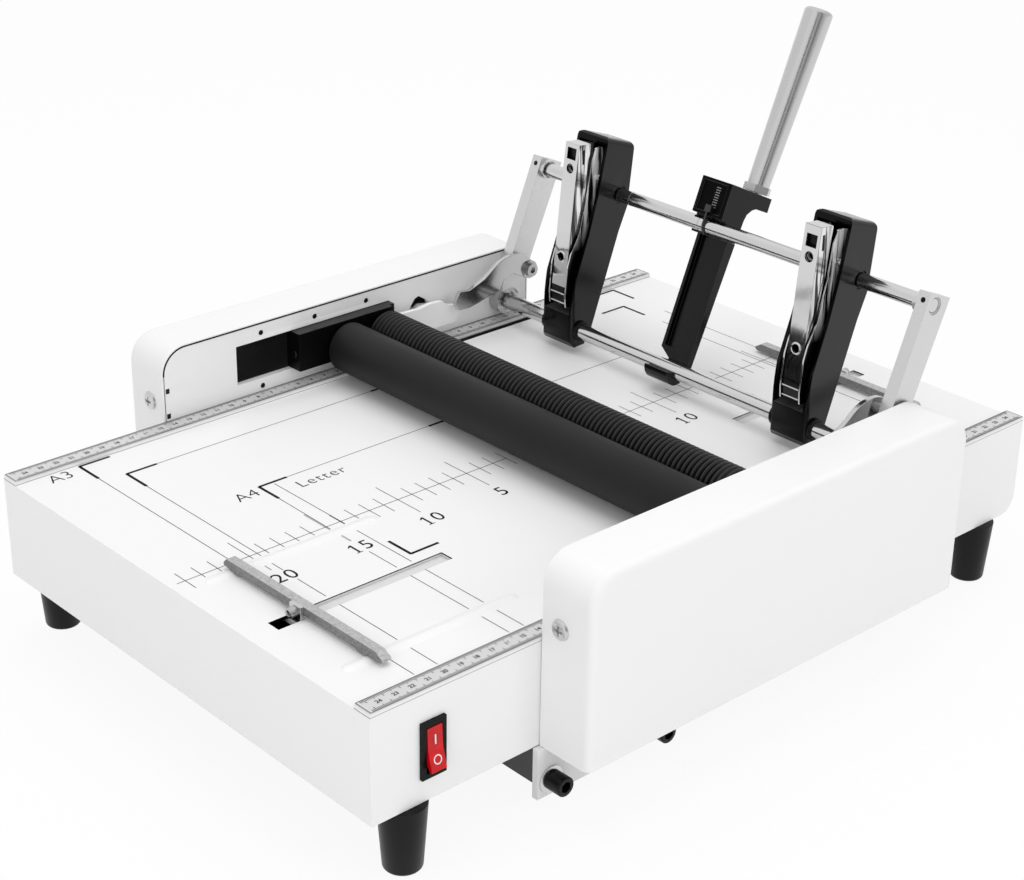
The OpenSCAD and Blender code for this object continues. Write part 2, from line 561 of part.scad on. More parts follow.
module rod_bushes() color([0.8, 0.8, 0.8]) for (c = [-head_x, head_x]) for (x = [c - head_l - 1.8, c + head_r])
  difference() {
    xcyl(x, x + 1.8, pivot_y, pz, lrod_r + 1.6);
    xcyl(x - 1, x + 3, pivot_y, pz, lrod_r);
  }
// The magazine is a folded box, its mouth at the top end; hole_up lifts its punched holes
module magazine(c, hole_up) color([0.85, 0.85, 0.85]) {
  m = c - 0.5;
  difference() {
    yz(m - mag_w / 2, m + mag_w / 2, head([[111.6, 44], [115, 78.5], [118, 111], [121, 135], [131, 134],
      [127.6, 111], [126, 84], [125.5, 32], [112, 32], [111.5, 38]]));
    yz(m - mag_w / 2 + 1.2, m + mag_w / 2 - 1.2, head([[113, 46], [116.4, 78.5], [119.4, 111],
      [122.2, 132], [140, 132], [132, 84], [132, 40], [113, 40]]));
    translate([0, pivot_y, pz]) scale([1, head_k, head_k]) {
      box(m - 3.8, m + 3.8, -10, 3.5, 108 + hole_up, 115.2 + hole_up);
      ycyl(-10, 3, m, 102.3 + hole_up, 3, 24);
      ycyl(-15, -2, m, 48.3, 2.5, 24);
    }
    xcyl(c - 20, c + 20, mag_y, mag_z, 1.6, 24);
  }
  xcyl(c - head_l + 1.1, c + head_r - 1.1, mag_y, mag_z, 1.6, 24);
  // driver guide and staple strip inside
  translate([0, pivot_y, pz]) scale([1, head_k, head_k])
    box(m - mag_w / 2 + 1.1, m + mag_w / 2 - 1.1, 3, 4.6, 85.5, 117.5);
}
module magazine_l() magazine(-head_x, 2.5);
module magazine_r() magazine(head_x, 0);
// A pair of side leaves in each channel: the magazine swings between them
module leaf_springs() color([0.8, 0.8, 0.8]) for (c = [-head_x, head_x]) for (d = [-1, 1])
  translate([c - 0.5, 0, 0]) side(d) difference() {
    union() {
      yz(mag_w / 2 + 0.6, mag_w / 2 + 1.6, head([[111, 31], [110.4, 38], [112, 58], [114.6, 66], [121.6, 79],
        [127.6, 104], [130.4, 124], [133, 131], [137, 131.6], [146, 129.2], [144.4, 112], [137.5, 84],
        [130, 58], [126, 40], [124, 30]]));
      for (p = head([[136.5, 112], [122.6, 52]]))
        xcyl(mag_w / 2 + 1.6, (d < 0 ? head_l - 0.5 : head_r + 0.5) - head_t, p[0], p[1], 2.2, 24);
    }
    xcyl(0, 30, mag_y, mag_z, 1.6 + fit, 24);
  }

// Centre bar, handle block and grip
module lever_channel() color([0.06, 0.06, 0.06]) lever() difference() {
  union() {
    yz(bar_x - cbar_w / 2, bar_x + cbar_w / 2, [[4.7, rod_gap - 6], [12.3, rod_gap - 6], [8.9, 4], [4.7, 4]]);
    box(bar_x - hook_w / 2, bar_x + hook_w / 2, 4.7, 8.6, 0, 5);
    xcyl(bar_x - hook_w / 2, bar_x + hook_w / 2, 0, 0, 9);
  }
  // groove down the front, sloped foot corner, and the open mouth of the hook round the lower rod
  box(bar_x - cbar_w / 2 + 2.2, bar_x - cbar_w / 2 + 9.6, 4, 7.8, 12, rod_gap);
  translate([bar_x - cbar_w / 2, 20, 0]) rotate([90, 0, 0]) linear_extrude(20)
    polygon([[-1, 11.2], [8.4, 5.2], [8.4, 3], [-1, 3]]);
  box(bar_x - 20, bar_x + 20, -12, 4.7, -1.5, 12);
  xcyl(bar_x - 20, bar_x + 20, 0, 0, lrod_r);
}
module holder() color([0.06, 0.06, 0.06]) lever() difference() {
  yz(bar_x - cbar_w / 2, bar_x + cbar_w / 2, [[-7, rod_gap + 28.3], [-7, rod_gap + 5.9],
    [-5, rod_gap + 5.6], [0.6 - urod_off, rod_gap + 5.6], [0.6 - urod_off, rod_gap - 5.9], [12, rod_gap - 5.9],
    [13.1, rod_gap + 4], [13.4, rod_gap + 9], [14.5, rod_gap + 13], [17.8, rod_gap + 16.2], [21.1, rod_gap + 17.6],
    [33, rod_gap + 17.2], [33, rod_gap + 26]]);
  xcyl(bar_x - 20, bar_x + 20, -urod_off, rod_gap, urod_r);
  box(bar_x - cbar_w / 2 + 1.5, bar_x + cbar_w / 2 - 3.5, -8, -5.6, rod_gap + 7.8, rod_gap + 26.4);
  translate([bar_x + 5.3, 24.5, rod_gap + 26.7]) rotate([-grip_lean, 0, 0])
    translate([0, 0, -13]) cylinder(h = 20, r = 4, $fn = 36);
}
module handle() color([0.75, 0.75, 0.75]) lever()
  translate([bar_x + 5.3, 24.5, rod_gap + 26.7]) rotate([-grip_lean, 0, 0]) {
    translate([0, 0, -9]) cylinder(h = 9.4, r = 4, $fn = 36);
    rotate_extrude($fn = 60) polygon([[0, 0.4], [grip_base_r - 0.6, 0.4], [grip_base_r, 1], [grip_r, grip_l - 3],
      [grip_r - 0.9, grip_l - 0.9], [grip_r - 3, grip_l], [0, grip_l]]);
  }
module handle_collar() color([0.78, 0.78, 0.78]) lever()
  translate([bar_x + 5.3, 24.5, rod_gap + 26.7]) rotate([-grip_lean, 0, 0]) difference() {
    translate([0, 0, 0.5]) cylinder(h = 4.6, r = 9.1, $fn = 6);
    rotate_extrude($fn = 60) polygon([[0, 0.4], [grip_base_r - 0.6, 0.4], [grip_base_r, 1], [grip_r, grip_l - 3],
      [0, grip_l - 3]]);
  }
module scale_pointer() color([0.85, 0.85, 0.85]) lever() {
  box(bar_x - 2.2, bar_x + 2.4, -8.4, -5.7, rod_gap + 8.2, rod_gap + 12.4);
  zcyl(rod_gap - 0.9, rod_gap + 9, bar_x, -7.9, 0.8, 24);
  difference() {
    union() {
      xcyl(bar_x - 0.8, bar_x + 0.8, -urod_off, rod_gap, urod_r + 0.8);
      box(bar_x - 0.8, bar_x + 0.8, -7.9, -4.5 - urod_off, rod_gap - 0.9, rod_gap + 0.9);
    }
    xcyl(bar_x - 2, bar_x + 2, -urod_off, rod_gap, urod_r);
    box(bar_x - 2, bar_x + 2, -urod_off - 1, 8, rod_gap - 8, rod_gap + 8);
  }
}

// Paper stops: front one drawn, the rear one is the same piece turned round
module stop_bar() rotate([90, 0, 0]) linear_extrude(stop_w)
  polygon([[-stop_l / 2, 2.6], [-stop_l / 2, stop_h - 1.6], [-stop_l / 2 + 2.6, stop_h + 1],
    [stop_l / 2 - 5, stop_h + 1], [stop_l / 2, 3.6], [stop_l / 2, 2.6], [stop_l / 2 - 2, 1.3],
    [stop_l / 2 - 12, 1.3], [stop_l / 2 - 15.5, 0.4], [stop_l / 2 - 19, 0.4], [stop_l / 2 - 20.5, 1.6],
    [-stop_l / 2 + 14, 1.6], [-stop_l / 2 + 12.5, 0.4], [-stop_l / 2 + 9.5, 0.4], [-stop_l / 2 + 1, 2.2]]);
module stop_clamp() difference() {
  union() {
    box(-4.6, 4.6, -stop_w - 2.4, -stop_w, 0.4, stop_h + 1.6);
    box(-3.9, 3.9, -stop_w - 2.4, -stop_w, -2.7, 0.5);
    box(-9, 9, -stop_w - 3, 1.5, -5.2, -2.6);
    box(-8, 8, 1, slot_l - slot_in - 3, -4, -2.8);
  }
  ycyl(-stop_w - 4, -stop_w + 1, 0, stop_h / 2 + 1, 1.6, 24);
}
module stop_screw() difference() {
  union() {
    ycyl(-stop_w - 6.4, -stop_w - 2.4, 0, stop_h / 2 + 1, 2.9, 36);
    ycyl(-stop_w - 2.4, -stop_w - 0.2, 0, stop_h / 2 + 1, 1.5, 24);
  }
  hex_sock(-stop_w - 7, -stop_w - 4.4, 0, stop_h / 2 + 1, 1.5);
}
module front_stop() color([0.6, 0.6, 0.6]) translate([fslot_x + 0.5, -fstop_y, top]) stop_bar();
module front_clamp() color([0.7, 0.7, 0.7]) translate([fslot_x, -fstop_y, top]) stop_clamp();
module front_screw() color([0.85, 0.85, 0.85]) translate([fslot_x, -fstop_y, top]) stop_screw();
module rear_stop() color([0.6, 0.6, 0.6]) translate([rslot_x - 0.5, rstop_y, top]) rotate([0, 0, 180]) stop_bar();
module rear_clamp() color([0.7, 0.7, 0.7]) translate([rslot_x, rstop_y, top]) rotate([0, 0, 180]) stop_clamp();
module rear_screw() color([0.85, 0.85, 0.85]) translate([rslot_x, rstop_y, top]) rotate([0, 0, 180]) stop_screw();

bed_shell();
bed_floor();
foot_fl();
foot_fr();
foot_rl();
foot_rr();
side_plate_l();
side_plate_r();
side_cover_l();
side_cover_r();
ruler_l();
ruler_r();
cover_screws();
tie_screws();
cross_panel();
anvils();
switch_bezel();
power_inlet();
knife_frame();
knife_motor();
rocker();
lower_rod();
rod_collars();
arm_l();
arm_r();
cam_l();
cam_r();
cam_bolts();
upper_rod();
stapler_l();
stapler_r();
rod_bushes();
leaf_springs();
lever_channel();
holder();
scale_pointer();
handle();
handle_collar();
magazine_l();
magazine_r();
carriage_bar_l();
carriage_bar_r();
push_links();
roller_motor();
motor_pinion();
roller_front();
gear_front();
roller_rear();
gear_rear();
knife_blade();
knife_rack();
knife_shaft();
front_stop();
front_clamp();
front_screw();
rear_stop();
rear_clamp();
rear_screw();
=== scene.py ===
import bmesh
import bpy
import numpy as np
from mathutils import Matrix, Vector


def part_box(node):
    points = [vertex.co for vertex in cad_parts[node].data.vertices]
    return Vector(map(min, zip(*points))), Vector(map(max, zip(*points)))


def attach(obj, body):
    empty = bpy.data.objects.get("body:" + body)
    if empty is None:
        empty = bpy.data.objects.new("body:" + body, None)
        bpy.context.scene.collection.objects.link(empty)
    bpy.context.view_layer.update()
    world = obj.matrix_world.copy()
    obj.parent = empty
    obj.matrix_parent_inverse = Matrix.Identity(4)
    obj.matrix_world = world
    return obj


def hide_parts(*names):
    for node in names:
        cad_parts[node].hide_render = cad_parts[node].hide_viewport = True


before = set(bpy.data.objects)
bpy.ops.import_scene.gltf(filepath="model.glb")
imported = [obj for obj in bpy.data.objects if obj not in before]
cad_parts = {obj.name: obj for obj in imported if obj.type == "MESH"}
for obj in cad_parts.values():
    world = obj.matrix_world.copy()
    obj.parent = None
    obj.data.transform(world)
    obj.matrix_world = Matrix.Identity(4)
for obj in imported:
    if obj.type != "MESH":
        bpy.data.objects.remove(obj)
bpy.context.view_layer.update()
mm = 0.001

# Camera: a short telephoto from the front right corner, a little above the machine, as in a catalogue.
# It is placed by its angle round the machine, its height angle and a slight roll, and stands at a place in
# metres.
around, above, roll = np.radians([47.478, 25.34, 0.856])
stands_at, focal_length, film_width = [0.818481, -0.766169, 0.634156], 75.64, 36.0
across = np.array([np.cos(around), np.sin(around), 0.0])
inward = np.array([-np.sin(around) * np.cos(above), np.cos(around) * np.cos(above), -np.sin(above)])
upward = np.cross(across, inward)
axes = np.eye(4)
axes[:3, 0] = np.cos(roll) * across + np.sin(roll) * upward
axes[:3, 1] = np.cos(roll) * upward - np.sin(roll) * across
axes[:3, 2] = -inward
axes[:3, 3] = stands_at
camera = bpy.data.objects.new("camera", bpy.data.cameras.new("camera"))
camera.data.lens, camera.data.sensor_width = focal_length, film_width
camera.matrix_world = Matrix(axes.tolist())
bpy.context.scene.collection.objects.link(camera)
bpy.context.scene.camera = camera


# Bed: one folded steel sheet, 325 by 500 by 60 mm, slotted for the paper stops and closed below by a
# plain floor. It is powder coated white, so its folds are soft and its skin has a very fine orange peel.
def linear(code):
    """A hex colour as linear light: each sRGB channel, plus 0.055, over 1.055, to the power 2.4, and the
    darkest ones over 12.92."""
    c = np.array([int(code[i : i + 2], 16) for i in (1, 3, 5)]) / 255
    return (*np.where(c < 0.0405, c / 12.92, ((c + 0.055) / 1.055) ** 2.4).tolist(), 1.0)


def add(tree, kind, inputs, **settings):
    """One shader node: settings are its own choices, inputs gives sockets a value or another node's
    output."""
    made = tree.nodes.new("ShaderNode" + kind)
    for key, value in settings.items():
        setattr(made, key, value)
    for key, value in inputs.items():
        named = [i for i in made.inputs if i.enabled and i.name == key]
        socket = made.inputs[key] if isinstance(key, int) else named[0]
        if isinstance(value, bpy.types.NodeSocket):
            tree.links.new(value, socket)
        else:
            socket.default_value = value
    return made


def finish(name, colour, rough, grain, depth, metal=0.0, mottle=0.03, patch=60.0, spread=0.06,
           stretch=(1, 1, 1), turn=(0, 0, 0), shine=0.5, **sockets):
    """A surface whose bump is noise with grains `grain` mm wide and `depth` mm deep, drawn out along an
    axis where stretch is below 1, and whose tone and gloss drift by mottle and spread over patches `patch`
    mm wide; shine is how strongly it mirrors, 0.5 for a bare plastic or paint."""
    paint = bpy.data.materials.new(name)
    paint.use_nodes = True
    tree = paint.node_tree
    shader = tree.nodes["Principled BSDF"]
    place = add(tree, "TexCoord", {}).outputs["Object"]
    laid = add(tree, "Mapping", {"Vector": place, "Rotation": turn,
                                 "Scale": [s / (grain * mm) for s in stretch]})
    fine = add(tree, "TexNoise", {"Vector": laid.outputs["Vector"], "Scale": 1.0, "Detail": 4.0})
    broad = add(tree, "TexNoise", {"Vector": place, "Scale": 1 / (patch * mm), "Detail": 3.0})
    both = add(tree, "Math", {0: fine.outputs[0], 1: broad.outputs[0]})
    gloss = add(tree, "MapRange", {"Value": both.outputs[0], "From Min": 0.7, "From Max": 1.3,
                                   "To Min": max(rough - spread, 0.02), "To Max": rough + spread})
    base = np.array(linear(colour)[:3])
    low, high = (*(base * (1 - mottle)), 1.0), (*np.minimum(base * (1 + mottle), 1.0), 1.0)
    tone = add(tree, "Mix", {"Factor": broad.outputs[0], "A": low, "B": high}, data_type="RGBA")
    bump = add(tree, "Bump", {"Height": fine.outputs[0], "Distance": depth * mm})
    tree.links.new(gloss.outputs[0], shader.inputs["Roughness"])
    tree.links.new(tone.outputs[2], shader.inputs["Base Color"])
    tree.links.new(bump.outputs["Normal"], shader.inputs["Normal"])
    for key, value in {"Metallic": metal, "Specular IOR Level": shine, **sockets}.items():
        shader.inputs[key].default_value = value
    return paint


def read(items, what, size=1, kind=float):
    """One measure of all of a mesh's items, as an array; with a size above 1, one row for each item."""
    values = np.zeros(size * len(items), kind)
    items.foreach_get(what, values)
    return values.reshape(-1, size) if size > 1 else values


def eased(node, name, width, body, paint, slot, steps=3, crease=30, tint=None, rim=-1):
    """A copy of a frame solid with rounded edges: its triangles are merged and flat neighbours joined,
    then each edge whose faces turn by more than crease degrees is rounded by width mm, or by width(edge
    middles). tint(face middles, face normals) picks each face's paint, rim the paint of rounded edges."""
    copy = bmesh.new()
    copy.from_mesh(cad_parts[node].data)
    bmesh.ops.remove_doubles(copy, verts=copy.verts, dist=2e-6)
    bmesh.ops.dissolve_limit(copy, angle_limit=np.radians(1), verts=copy.verts, edges=copy.edges)
    mesh = bpy.data.meshes.new(name)
    copy.to_mesh(mesh)
    copy.free()
    facing, count = read(mesh.polygons, "normal", 3), read(mesh.polygons, "loop_total", kind=int)
    order = np.argsort(read(mesh.loops, "edge_index", kind=int), kind="stable")
    owner = np.repeat(facing, count, axis=0)[order].reshape(-1, 2, 3)
    turn = np.degrees(np.arccos(np.clip((owner[:, 0] * owner[:, 1]).sum(1), -1, 1)))
    middles = read(mesh.vertices, "co", 3)[read(mesh.edges, "vertices", 2, int)].mean(1) / mm
    wide = np.where(turn > crease, width(middles) if callable(width) else width, 0.0)
    weight = mesh.attributes.new("bevel_weight_edge", "FLOAT", "EDGE")
    weight.data.foreach_set("value", (wide / wide.max()).astype(np.float32))
    if tint:
        picked = tint(read(mesh.polygons, "center", 3) / mm, facing)
        mesh.polygons.foreach_set("material_index", picked.astype(int))
    mesh.shade_smooth()
    mesh.set_sharp_from_angle(angle=np.radians(crease))
    obj = bpy.data.objects.new(name, mesh)
    round_off = obj.modifiers.new("rounded edges", "BEVEL")
    round_off.limit_method, round_off.width, round_off.segments = "WEIGHT", wide.max() * mm, steps
    round_off.harden_normals, round_off.material = True, rim
    return fit(obj, body, paint, slot, node)


def fit(obj, body, paints, slot, *nodes):
    """Puts a finished piece in the scene: what it rides on, its paints, and the solids it stands for."""
    bpy.context.scene.collection.objects.link(obj)
    for paint in paints if isinstance(paints, list) else [paints]:
        obj.data.materials.append(paint)
    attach(obj, body)
    if nodes:
        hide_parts(*nodes)
    return obj


def dress(paint, *nodes):
    """Gives frame solids that keep their own shape a finish."""
    for node in nodes:
        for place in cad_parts[node].material_slots:
            place.material = paint


bed_w, bed_l, bed_top, bed_low = 325.0, 500.0, 98.0, 38.0
side_x, end_y = bed_w / 2, bed_l / 2
front_slot, rear_slot = ((61.8, 70.8), (-233.6, -121.2)), ((47.5, 56.5), (118.7, 231.0))  # in x and y
white = finish("powder coated steel", "#F3F3F3", 0.44, 0.9, 0.02, mottle=0.006, patch=110, spread=0.05)
# Blackened sheet, also painted shade: the insides of the bed and covers, its floor and cross member are
# painted dark.
blackened_and_shade = finish("blackened sheet and painted shade", "#2B2B2B", 0.5, 1.2, 0.02, mottle=0.12, patch=25)
# The white slide strips and the walls of the slots are painted light grey as painted shade.
shaded_slide_white = finish("white slide strip with painted shade", "#DEDEDE", 0.5, 0.6, 0.01, mottle=0.02, patch=30)


def bed_folds(m):
    """How far each edge of the bed is rounded: wide at the outer folds, narrow at cut edges."""
    return np.where((np.abs(m[:, 0]) > side_x - 0.5) | (np.abs(m[:, 1]) > end_y - 0.5), 1.7, 0.25)


def bed_tint(c, n):
    """White outside, dark inside and underneath as painted shade, and grey-white on the walls of the two
    slots as painted shade.
    """
    slots = (c[:, 2] > bed_top - 1.5) & (c[:, 0] > 40) & (np.abs(c[:, 1]) > 110)
    within = (np.abs(c[:, 0]) < side_x - 0.2) & (np.abs(c[:, 1]) < end_y - 0.3)
    inner = within & ~slots & ((n[:, 2] < 0.5) | (c[:, 2] < bed_top - 1))
    return np.where(slots & (n[:, 2] < 0.5) & (np.abs(c[:, 0]) < side_x - 0.5), 2, inner)


eased("bed_shell", "bed_skin", bed_folds, "bed", [white, blackened_and_shade, shaded_slide_white], "white_paint", steps=4,
      tint=bed_tint)
eased("bed_floor", "bed_underside", 0.3, "bed", blackened_and_shade, "dark_sheet", steps=2)
eased("cross_panel", "cross_member", 0.4, "bed", blackened_and_shade, "dark_sheet", steps=2)


# Pressed beads: two low ridges in the bed beside the front slot that hold the paper off the sheet. They
# come out of the same sheet and under the same white coat, 112 mm long with round ends.
def grid(points, around=False, tint=0):
    """A patch from points in rows and columns: each four neighbours are a face, and around joins the last
    column to the first."""
    rows, cols = points.shape[:2]
    i, j = np.meshgrid(np.arange(rows - 1), np.arange(cols - (not around)), indexing="ij")
    right = (j + 1) % cols
    faces = np.stack([i * cols + j, i * cols + right, (i + 1) * cols + right, (i + 1) * cols + j], -1)
    return [(points.reshape(-1, 3), faces.reshape(-1, 4), tint)]


def piece(name, parts, body, paints, slot, *nodes, crease=35, solid=True):
    """One object from patches laid together: seams merge, faces of a closed shape turn outwards, and edges
    that turn by more than crease degrees stay sharp. A patch's tint picks its paint."""
    starts = np.cumsum([0] + [len(points) for points, _, _ in parts])
    mesh = bpy.data.meshes.new(name)
    faces = [face for (_, quads, _), at in zip(parts, starts) for face in (quads + at).tolist()]
    mesh.from_pydata((np.concatenate([points for points, _, _ in parts]) * mm).tolist(), [], faces)
    tints = np.concatenate([np.full(len(quads), tint) for _, quads, tint in parts])
    mesh.polygons.foreach_set("material_index", tints)
    tidy = bmesh.new()
    tidy.from_mesh(mesh)
    bmesh.ops.remove_doubles(tidy, verts=tidy.verts, dist=2e-6)
    bmesh.ops.dissolve_degenerate(tidy, edges=tidy.edges, dist=1e-7)
    if solid:
        bmesh.ops.recalc_face_normals(tidy, faces=tidy.faces)
    tidy.to_mesh(mesh)
    tidy.free()
    mesh.shade_smooth()
    mesh.set_sharp_from_angle(angle=np.radians(crease))
    return fit(bpy.data.objects.new(name, mesh), body, paints, slot, *nodes)


bead_half, bead_high, bead_ends = 4.9, 1.15, (-233.5, -122.0)


def bead(x):
    """Height over the bed = bead_high times cos squared across, times a round fall at both ends."""
    along, side = np.meshgrid(np.linspace(0, 1, 60), np.linspace(-1, 1, 17), indexing="ij")
    along = 0.5 - 0.5 * np.cos(np.pi * along)
    front, rear = bead_ends
    y = front + (rear - front) * along
    inside = np.clip((bead_half - np.minimum(y - front, rear - y)) / bead_half, 0, 1)
    fall = np.sqrt(np.clip(1 - inside**2, 0, 1))
    lift = bead_high * np.cos(np.pi / 2 * side) ** 2 * fall
    return grid(np.stack([x + bead_half * side * fall, y, bed_top - 0.02 + lift], -1))


piece("front_beads", bead(8.6) + bead(121), "bed", white, "white_paint", solid=False)


# Printed marks: a flat black ink on the white coat. A centre scale numbered from the fold line, bold
# corner marks for the paper sizes, and fine lines from those corners to the right hand ruler. Each line is
# given by its two ends, in x and y from the middle of the bed.
ink = finish("screen printed ink", "#060606", 0.62, 0.4, 0.004, mottle=0.18, patch=6, shine=0.2)
pale_ink = finish("worn printed ink", "#ADADAD", 0.62, 0.4, 0.004, mottle=0.1, patch=6)


def strokes(lines, wide, level):
    """Straight marks seen from above: each line's ends in x and y, wide mm across, at one level."""
    a, b = np.array(lines, float).reshape(-1, 2, 2).transpose(1, 0, 2)
    run = (b - a) / np.linalg.norm(b - a, axis=1)[:, None]
    side = np.stack([-run[:, 1], run[:, 0]], -1) * wide / 2
    flat = np.stack([a - side, b - side, b + side, a + side], 1)
    points = np.dstack([flat, np.full(flat.shape[:2], level)]).reshape(-1, 3)
    return [(points, np.arange(len(points)).reshape(-1, 4), 0)]


def letters(text, tall, x, y, level, sideways=True, space=1.0, bold=0.0):
    """Plain lettering as flat triangles, tall mm high with its middle at x and y; sideways reads from the
    right, and bold thickens the strokes."""
    curve = bpy.data.curves.new("letters", "FONT")
    curve.body, curve.align_x, curve.align_y, curve.size = text, "CENTER", "CENTER", tall / 0.73
    curve.space_character, curve.offset = space, bold
    holder = bpy.data.objects.new("letters", curve)
    bpy.context.scene.collection.objects.link(holder)
    mesh = holder.evaluated_get(bpy.context.evaluated_depsgraph_get()).to_mesh()
    mesh.calc_loop_triangles()
    u, v, _ = read(mesh.vertices, "co", 3).T
    faces = read(mesh.loop_triangles, "vertices", 3, int)
    bpy.data.objects.remove(holder)
    u, v = (-v, u) if sideways else (u, v)
    return [(np.stack([x + u, y + v, np.full(len(u), level)], -1), faces, 0)]


ink_z, fine_wide, bold_wide = bed_top + 0.06, 0.45, 1.85
bead_left, bead_right = 3.6, 13.6
tens = np.arange(10, 241, 10.0)
fine, bold = [], []
for y in (*-tens[tens != 150], *tens[tens <= 200]):
    reach = 19.4 if abs(y) % 50 == 0 else 9.6
    past_bead = -233 < y < -122
    fine.append([[-reach, y], [bead_left if past_bead else reach, y]])
    if past_bead and reach > 10:
        fine.append([[bead_right, y], [reach, y]])
fine += [[[0, -245], [0, -20]], [[0, 24], [0, 214]]]
for y, start in ((-210, -129.5), (-195, -103.6), (-139.6, -59.7)):
    fine.append([[start, y], [bead_left, y]])
for y in (-195.6, -139.6):
    fine += [[[13.8, y], [23.4 if y < -150 else 59.3, y]], [[35.6, y], [59.4, y]], [[70.4, y], [115.9, y]]]
fine += [[[126, y], [146, y]] for y in (-210, -195.6, -149.7, -139.8)]
fine += [
    [[36.5, -149.4], [59.3, -149.4]], [[70.7, -149.6], [116, -149.6]],
    [[-43.8, -148.5], [bead_left, -149.4]], [[-123.4, -175.4], [-123.4, -20]],
    [[-62.1, -129.3], [-62.1, -25]], [[-87, 197.4], [146, 197.4]],
    [[-99.3, 212], [146, 212]], [[-62.1, 30], [-62.1, 150]],
]
for x, y, dx, dy in ((-148.6, -210, 20, 20), (-123.3, -195, 20, 20), (-62.1, -148.5, 18.5, 19),
                     (52.7, -134.5, -18.5, 19), (-148.4, 212.3, 20, -20), (-122.6, 196.6, 20, -20)):
    bold += [[[x - 0.45 * np.sign(dx), y], [x + dx, y]], [[x, y], [x, y + dy]]]
bold += [[[-62, -25.5], [-62, -14]], [[-123.4, -20], [-123.4, -12]]]
words = letters("A3", 9.6, -143.4, -225.2, ink_z, bold=-0.15)
words += letters("A4", 9.6, -57.4, -160, ink_z, bold=-0.15)
words += letters("Letter", 8.4, -49.5, -114.6, ink_z, space=1.14, bold=-0.1)


def one(tall, x, y, level):
    """A figure one with a flag and a foot, lying like the other figures: stem, foot and flag are flat
    four-sided shapes, one a hair above the other."""
    u = np.array([[-0.65, 0.65, 0.65, -0.65], [-2.0, 2.0, 2.0, -2.0], [-0.65, -0.65, -2.3, -2.5]])
    v = np.array([[0, 0, 1, 1], [0, 0, 0.06, 0.06], [1.0, 0.84, 0.74, 0.8]]) * tall - tall / 2
    flat = np.stack([x - v, y + u, np.full(u.shape, level) + np.array([[0], [0.01], [0.02]])], -1)
    return [(flat.reshape(-1, 3), np.arange(12).reshape(-1, 4)[:, ::-1], 0)]


figures_x, figures_high = 29.6, 10
for number, y in ((5, -49.8), (10, -99.6), (15, -149), (20, -198.8),
                  (5, 50), (10, 99), (15, 149), (20, 199)):
    if 10 <= number < 20:
        words += one(9.6, figures_x, y - 4.4, ink_z)
        words += letters(str(number % 10), figures_high, figures_x, y + 3.4, ink_z)
    else:
        words += letters(str(number), figures_high, figures_x, y, ink_z, space=1.12)
lines = strokes(fine, fine_wide, ink_z) + strokes(bold, bold_wide, ink_z + 0.01)
piece("bed_print", lines + words, "bed", ink, "dark_sheet", solid=False)
worn = [[[-19, -149.8], [bead_left, -149.9]], [[13, -149.4], [21.2, -149.4]]]
piece("bed_print_pale", strokes(worn, 1.3, ink_z - 0.02), "bed", pale_ink, "dark_sheet", solid=False)


# Feet: tapered cones moulded in black plastic, screwed up into the corners of the bed. The edge they
# stand on is rounded, and the moulding leaves a soft satin skin.
def turned(profile, centre, axis, count=64):
    """A shape of revolution: centre, plus a distance along the axis, plus a radius times (cos, sin) across
    it."""
    axis = np.array(axis, float) / np.linalg.norm(axis)
    side = np.cross(axis, [0.0, 0.0, 1.0] if abs(axis[2]) < 0.9 else [0.0, 1.0, 0.0])
    side /= np.linalg.norm(side)
    angle = 2 * np.pi * np.arange(count) / count
    ring = np.cos(angle)[:, None] * side + np.sin(angle)[:, None] * np.cross(axis, side)
    along, radius = np.array(profile, float).T
    points = np.array(centre) + along[:, None, None] * axis + radius[:, None, None] * ring
    return grid(points, around=True)


def corner(along, radius, size, start, stop, steps=5):
    """A rounded corner of a turned profile: an arc of that size about (along, radius) between two
    angles."""
    a = np.radians(np.linspace(start, stop, steps))
    return [[along + size * c, radius + size * s] for c, s in zip(np.cos(a), np.sin(a))]


satin_black = finish("moulded black plastic", "#0C0C0C", 0.36, 0.5, 0.02, mottle=0.15, patch=20, shine=0.2)
foot = [[8, 0], [8, 4.2], [0, 4.5], [0, 7.9], *corner(2.4, 7.9, 2.4, 180, 100), [30, 12.28], [37.7, 12.8],
        [37.9, 12.4], [37.9, 0]]
for node in ("foot_fl", "foot_fr", "foot_rl", "foot_rr"):
    low, high = (np.array(p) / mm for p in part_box(node))
    piece(node + "_moulding", turned(foot, [*((low + high) / 2)[:2], 0], [0, 0, 1]), "bed", satin_black,
          "foot_rubber", node)


# Rulers: a bright steel strip engraved in millimetres, bonded on a white backing strip along each edge of
# the bed, with a thin grey line below it that is a painted contact shadow. They count outwards from the
# fold line, so zero lies under the rollers. The rolled steel is drawn out along the strip and only half
# bright;
# the ticks are filled black.
engraved = finish("rolled ruler steel", "#D9D9D9", 0.36, 0.35, 0.004, metal=0.4, mottle=0.02, patch=30,
                  spread=0.01, stretch=(1, 0.04, 1))
backing = finish("white backing strip", "#EFEFEF", 0.4, 0.6, 0.01, mottle=0.02)
contact_shadow_grey = finish("painted contact shadow", "#6E6E6E", 0.6, 0.6, 0.01, mottle=0.1)
engraving = finish("filled engraving", "#1C1C1C", 0.6, 0.3, 0.004, mottle=0.1, patch=5)


def bar(x, y, z, ease=0.3):
    """A straight bar between two places in x, y and z, its two upper long edges cut back by ease."""
    (x0, x1), (y0, y1), (z0, z1), e = x, y, z, ease
    section = np.array([[x0, z0], [x1, z0], [x1, z1 - e], [x1 - e, z1], [x0 + e, z1], [x0, z1 - e]])
    ends = np.stack([np.insert(section, 1, place, axis=1) for place in (y0, y1)])
    cap = np.arange(6)
    return grid(ends, around=True) + [(ends[0], cap[None, ::-1], 0), (ends[1], cap[None], 0)]


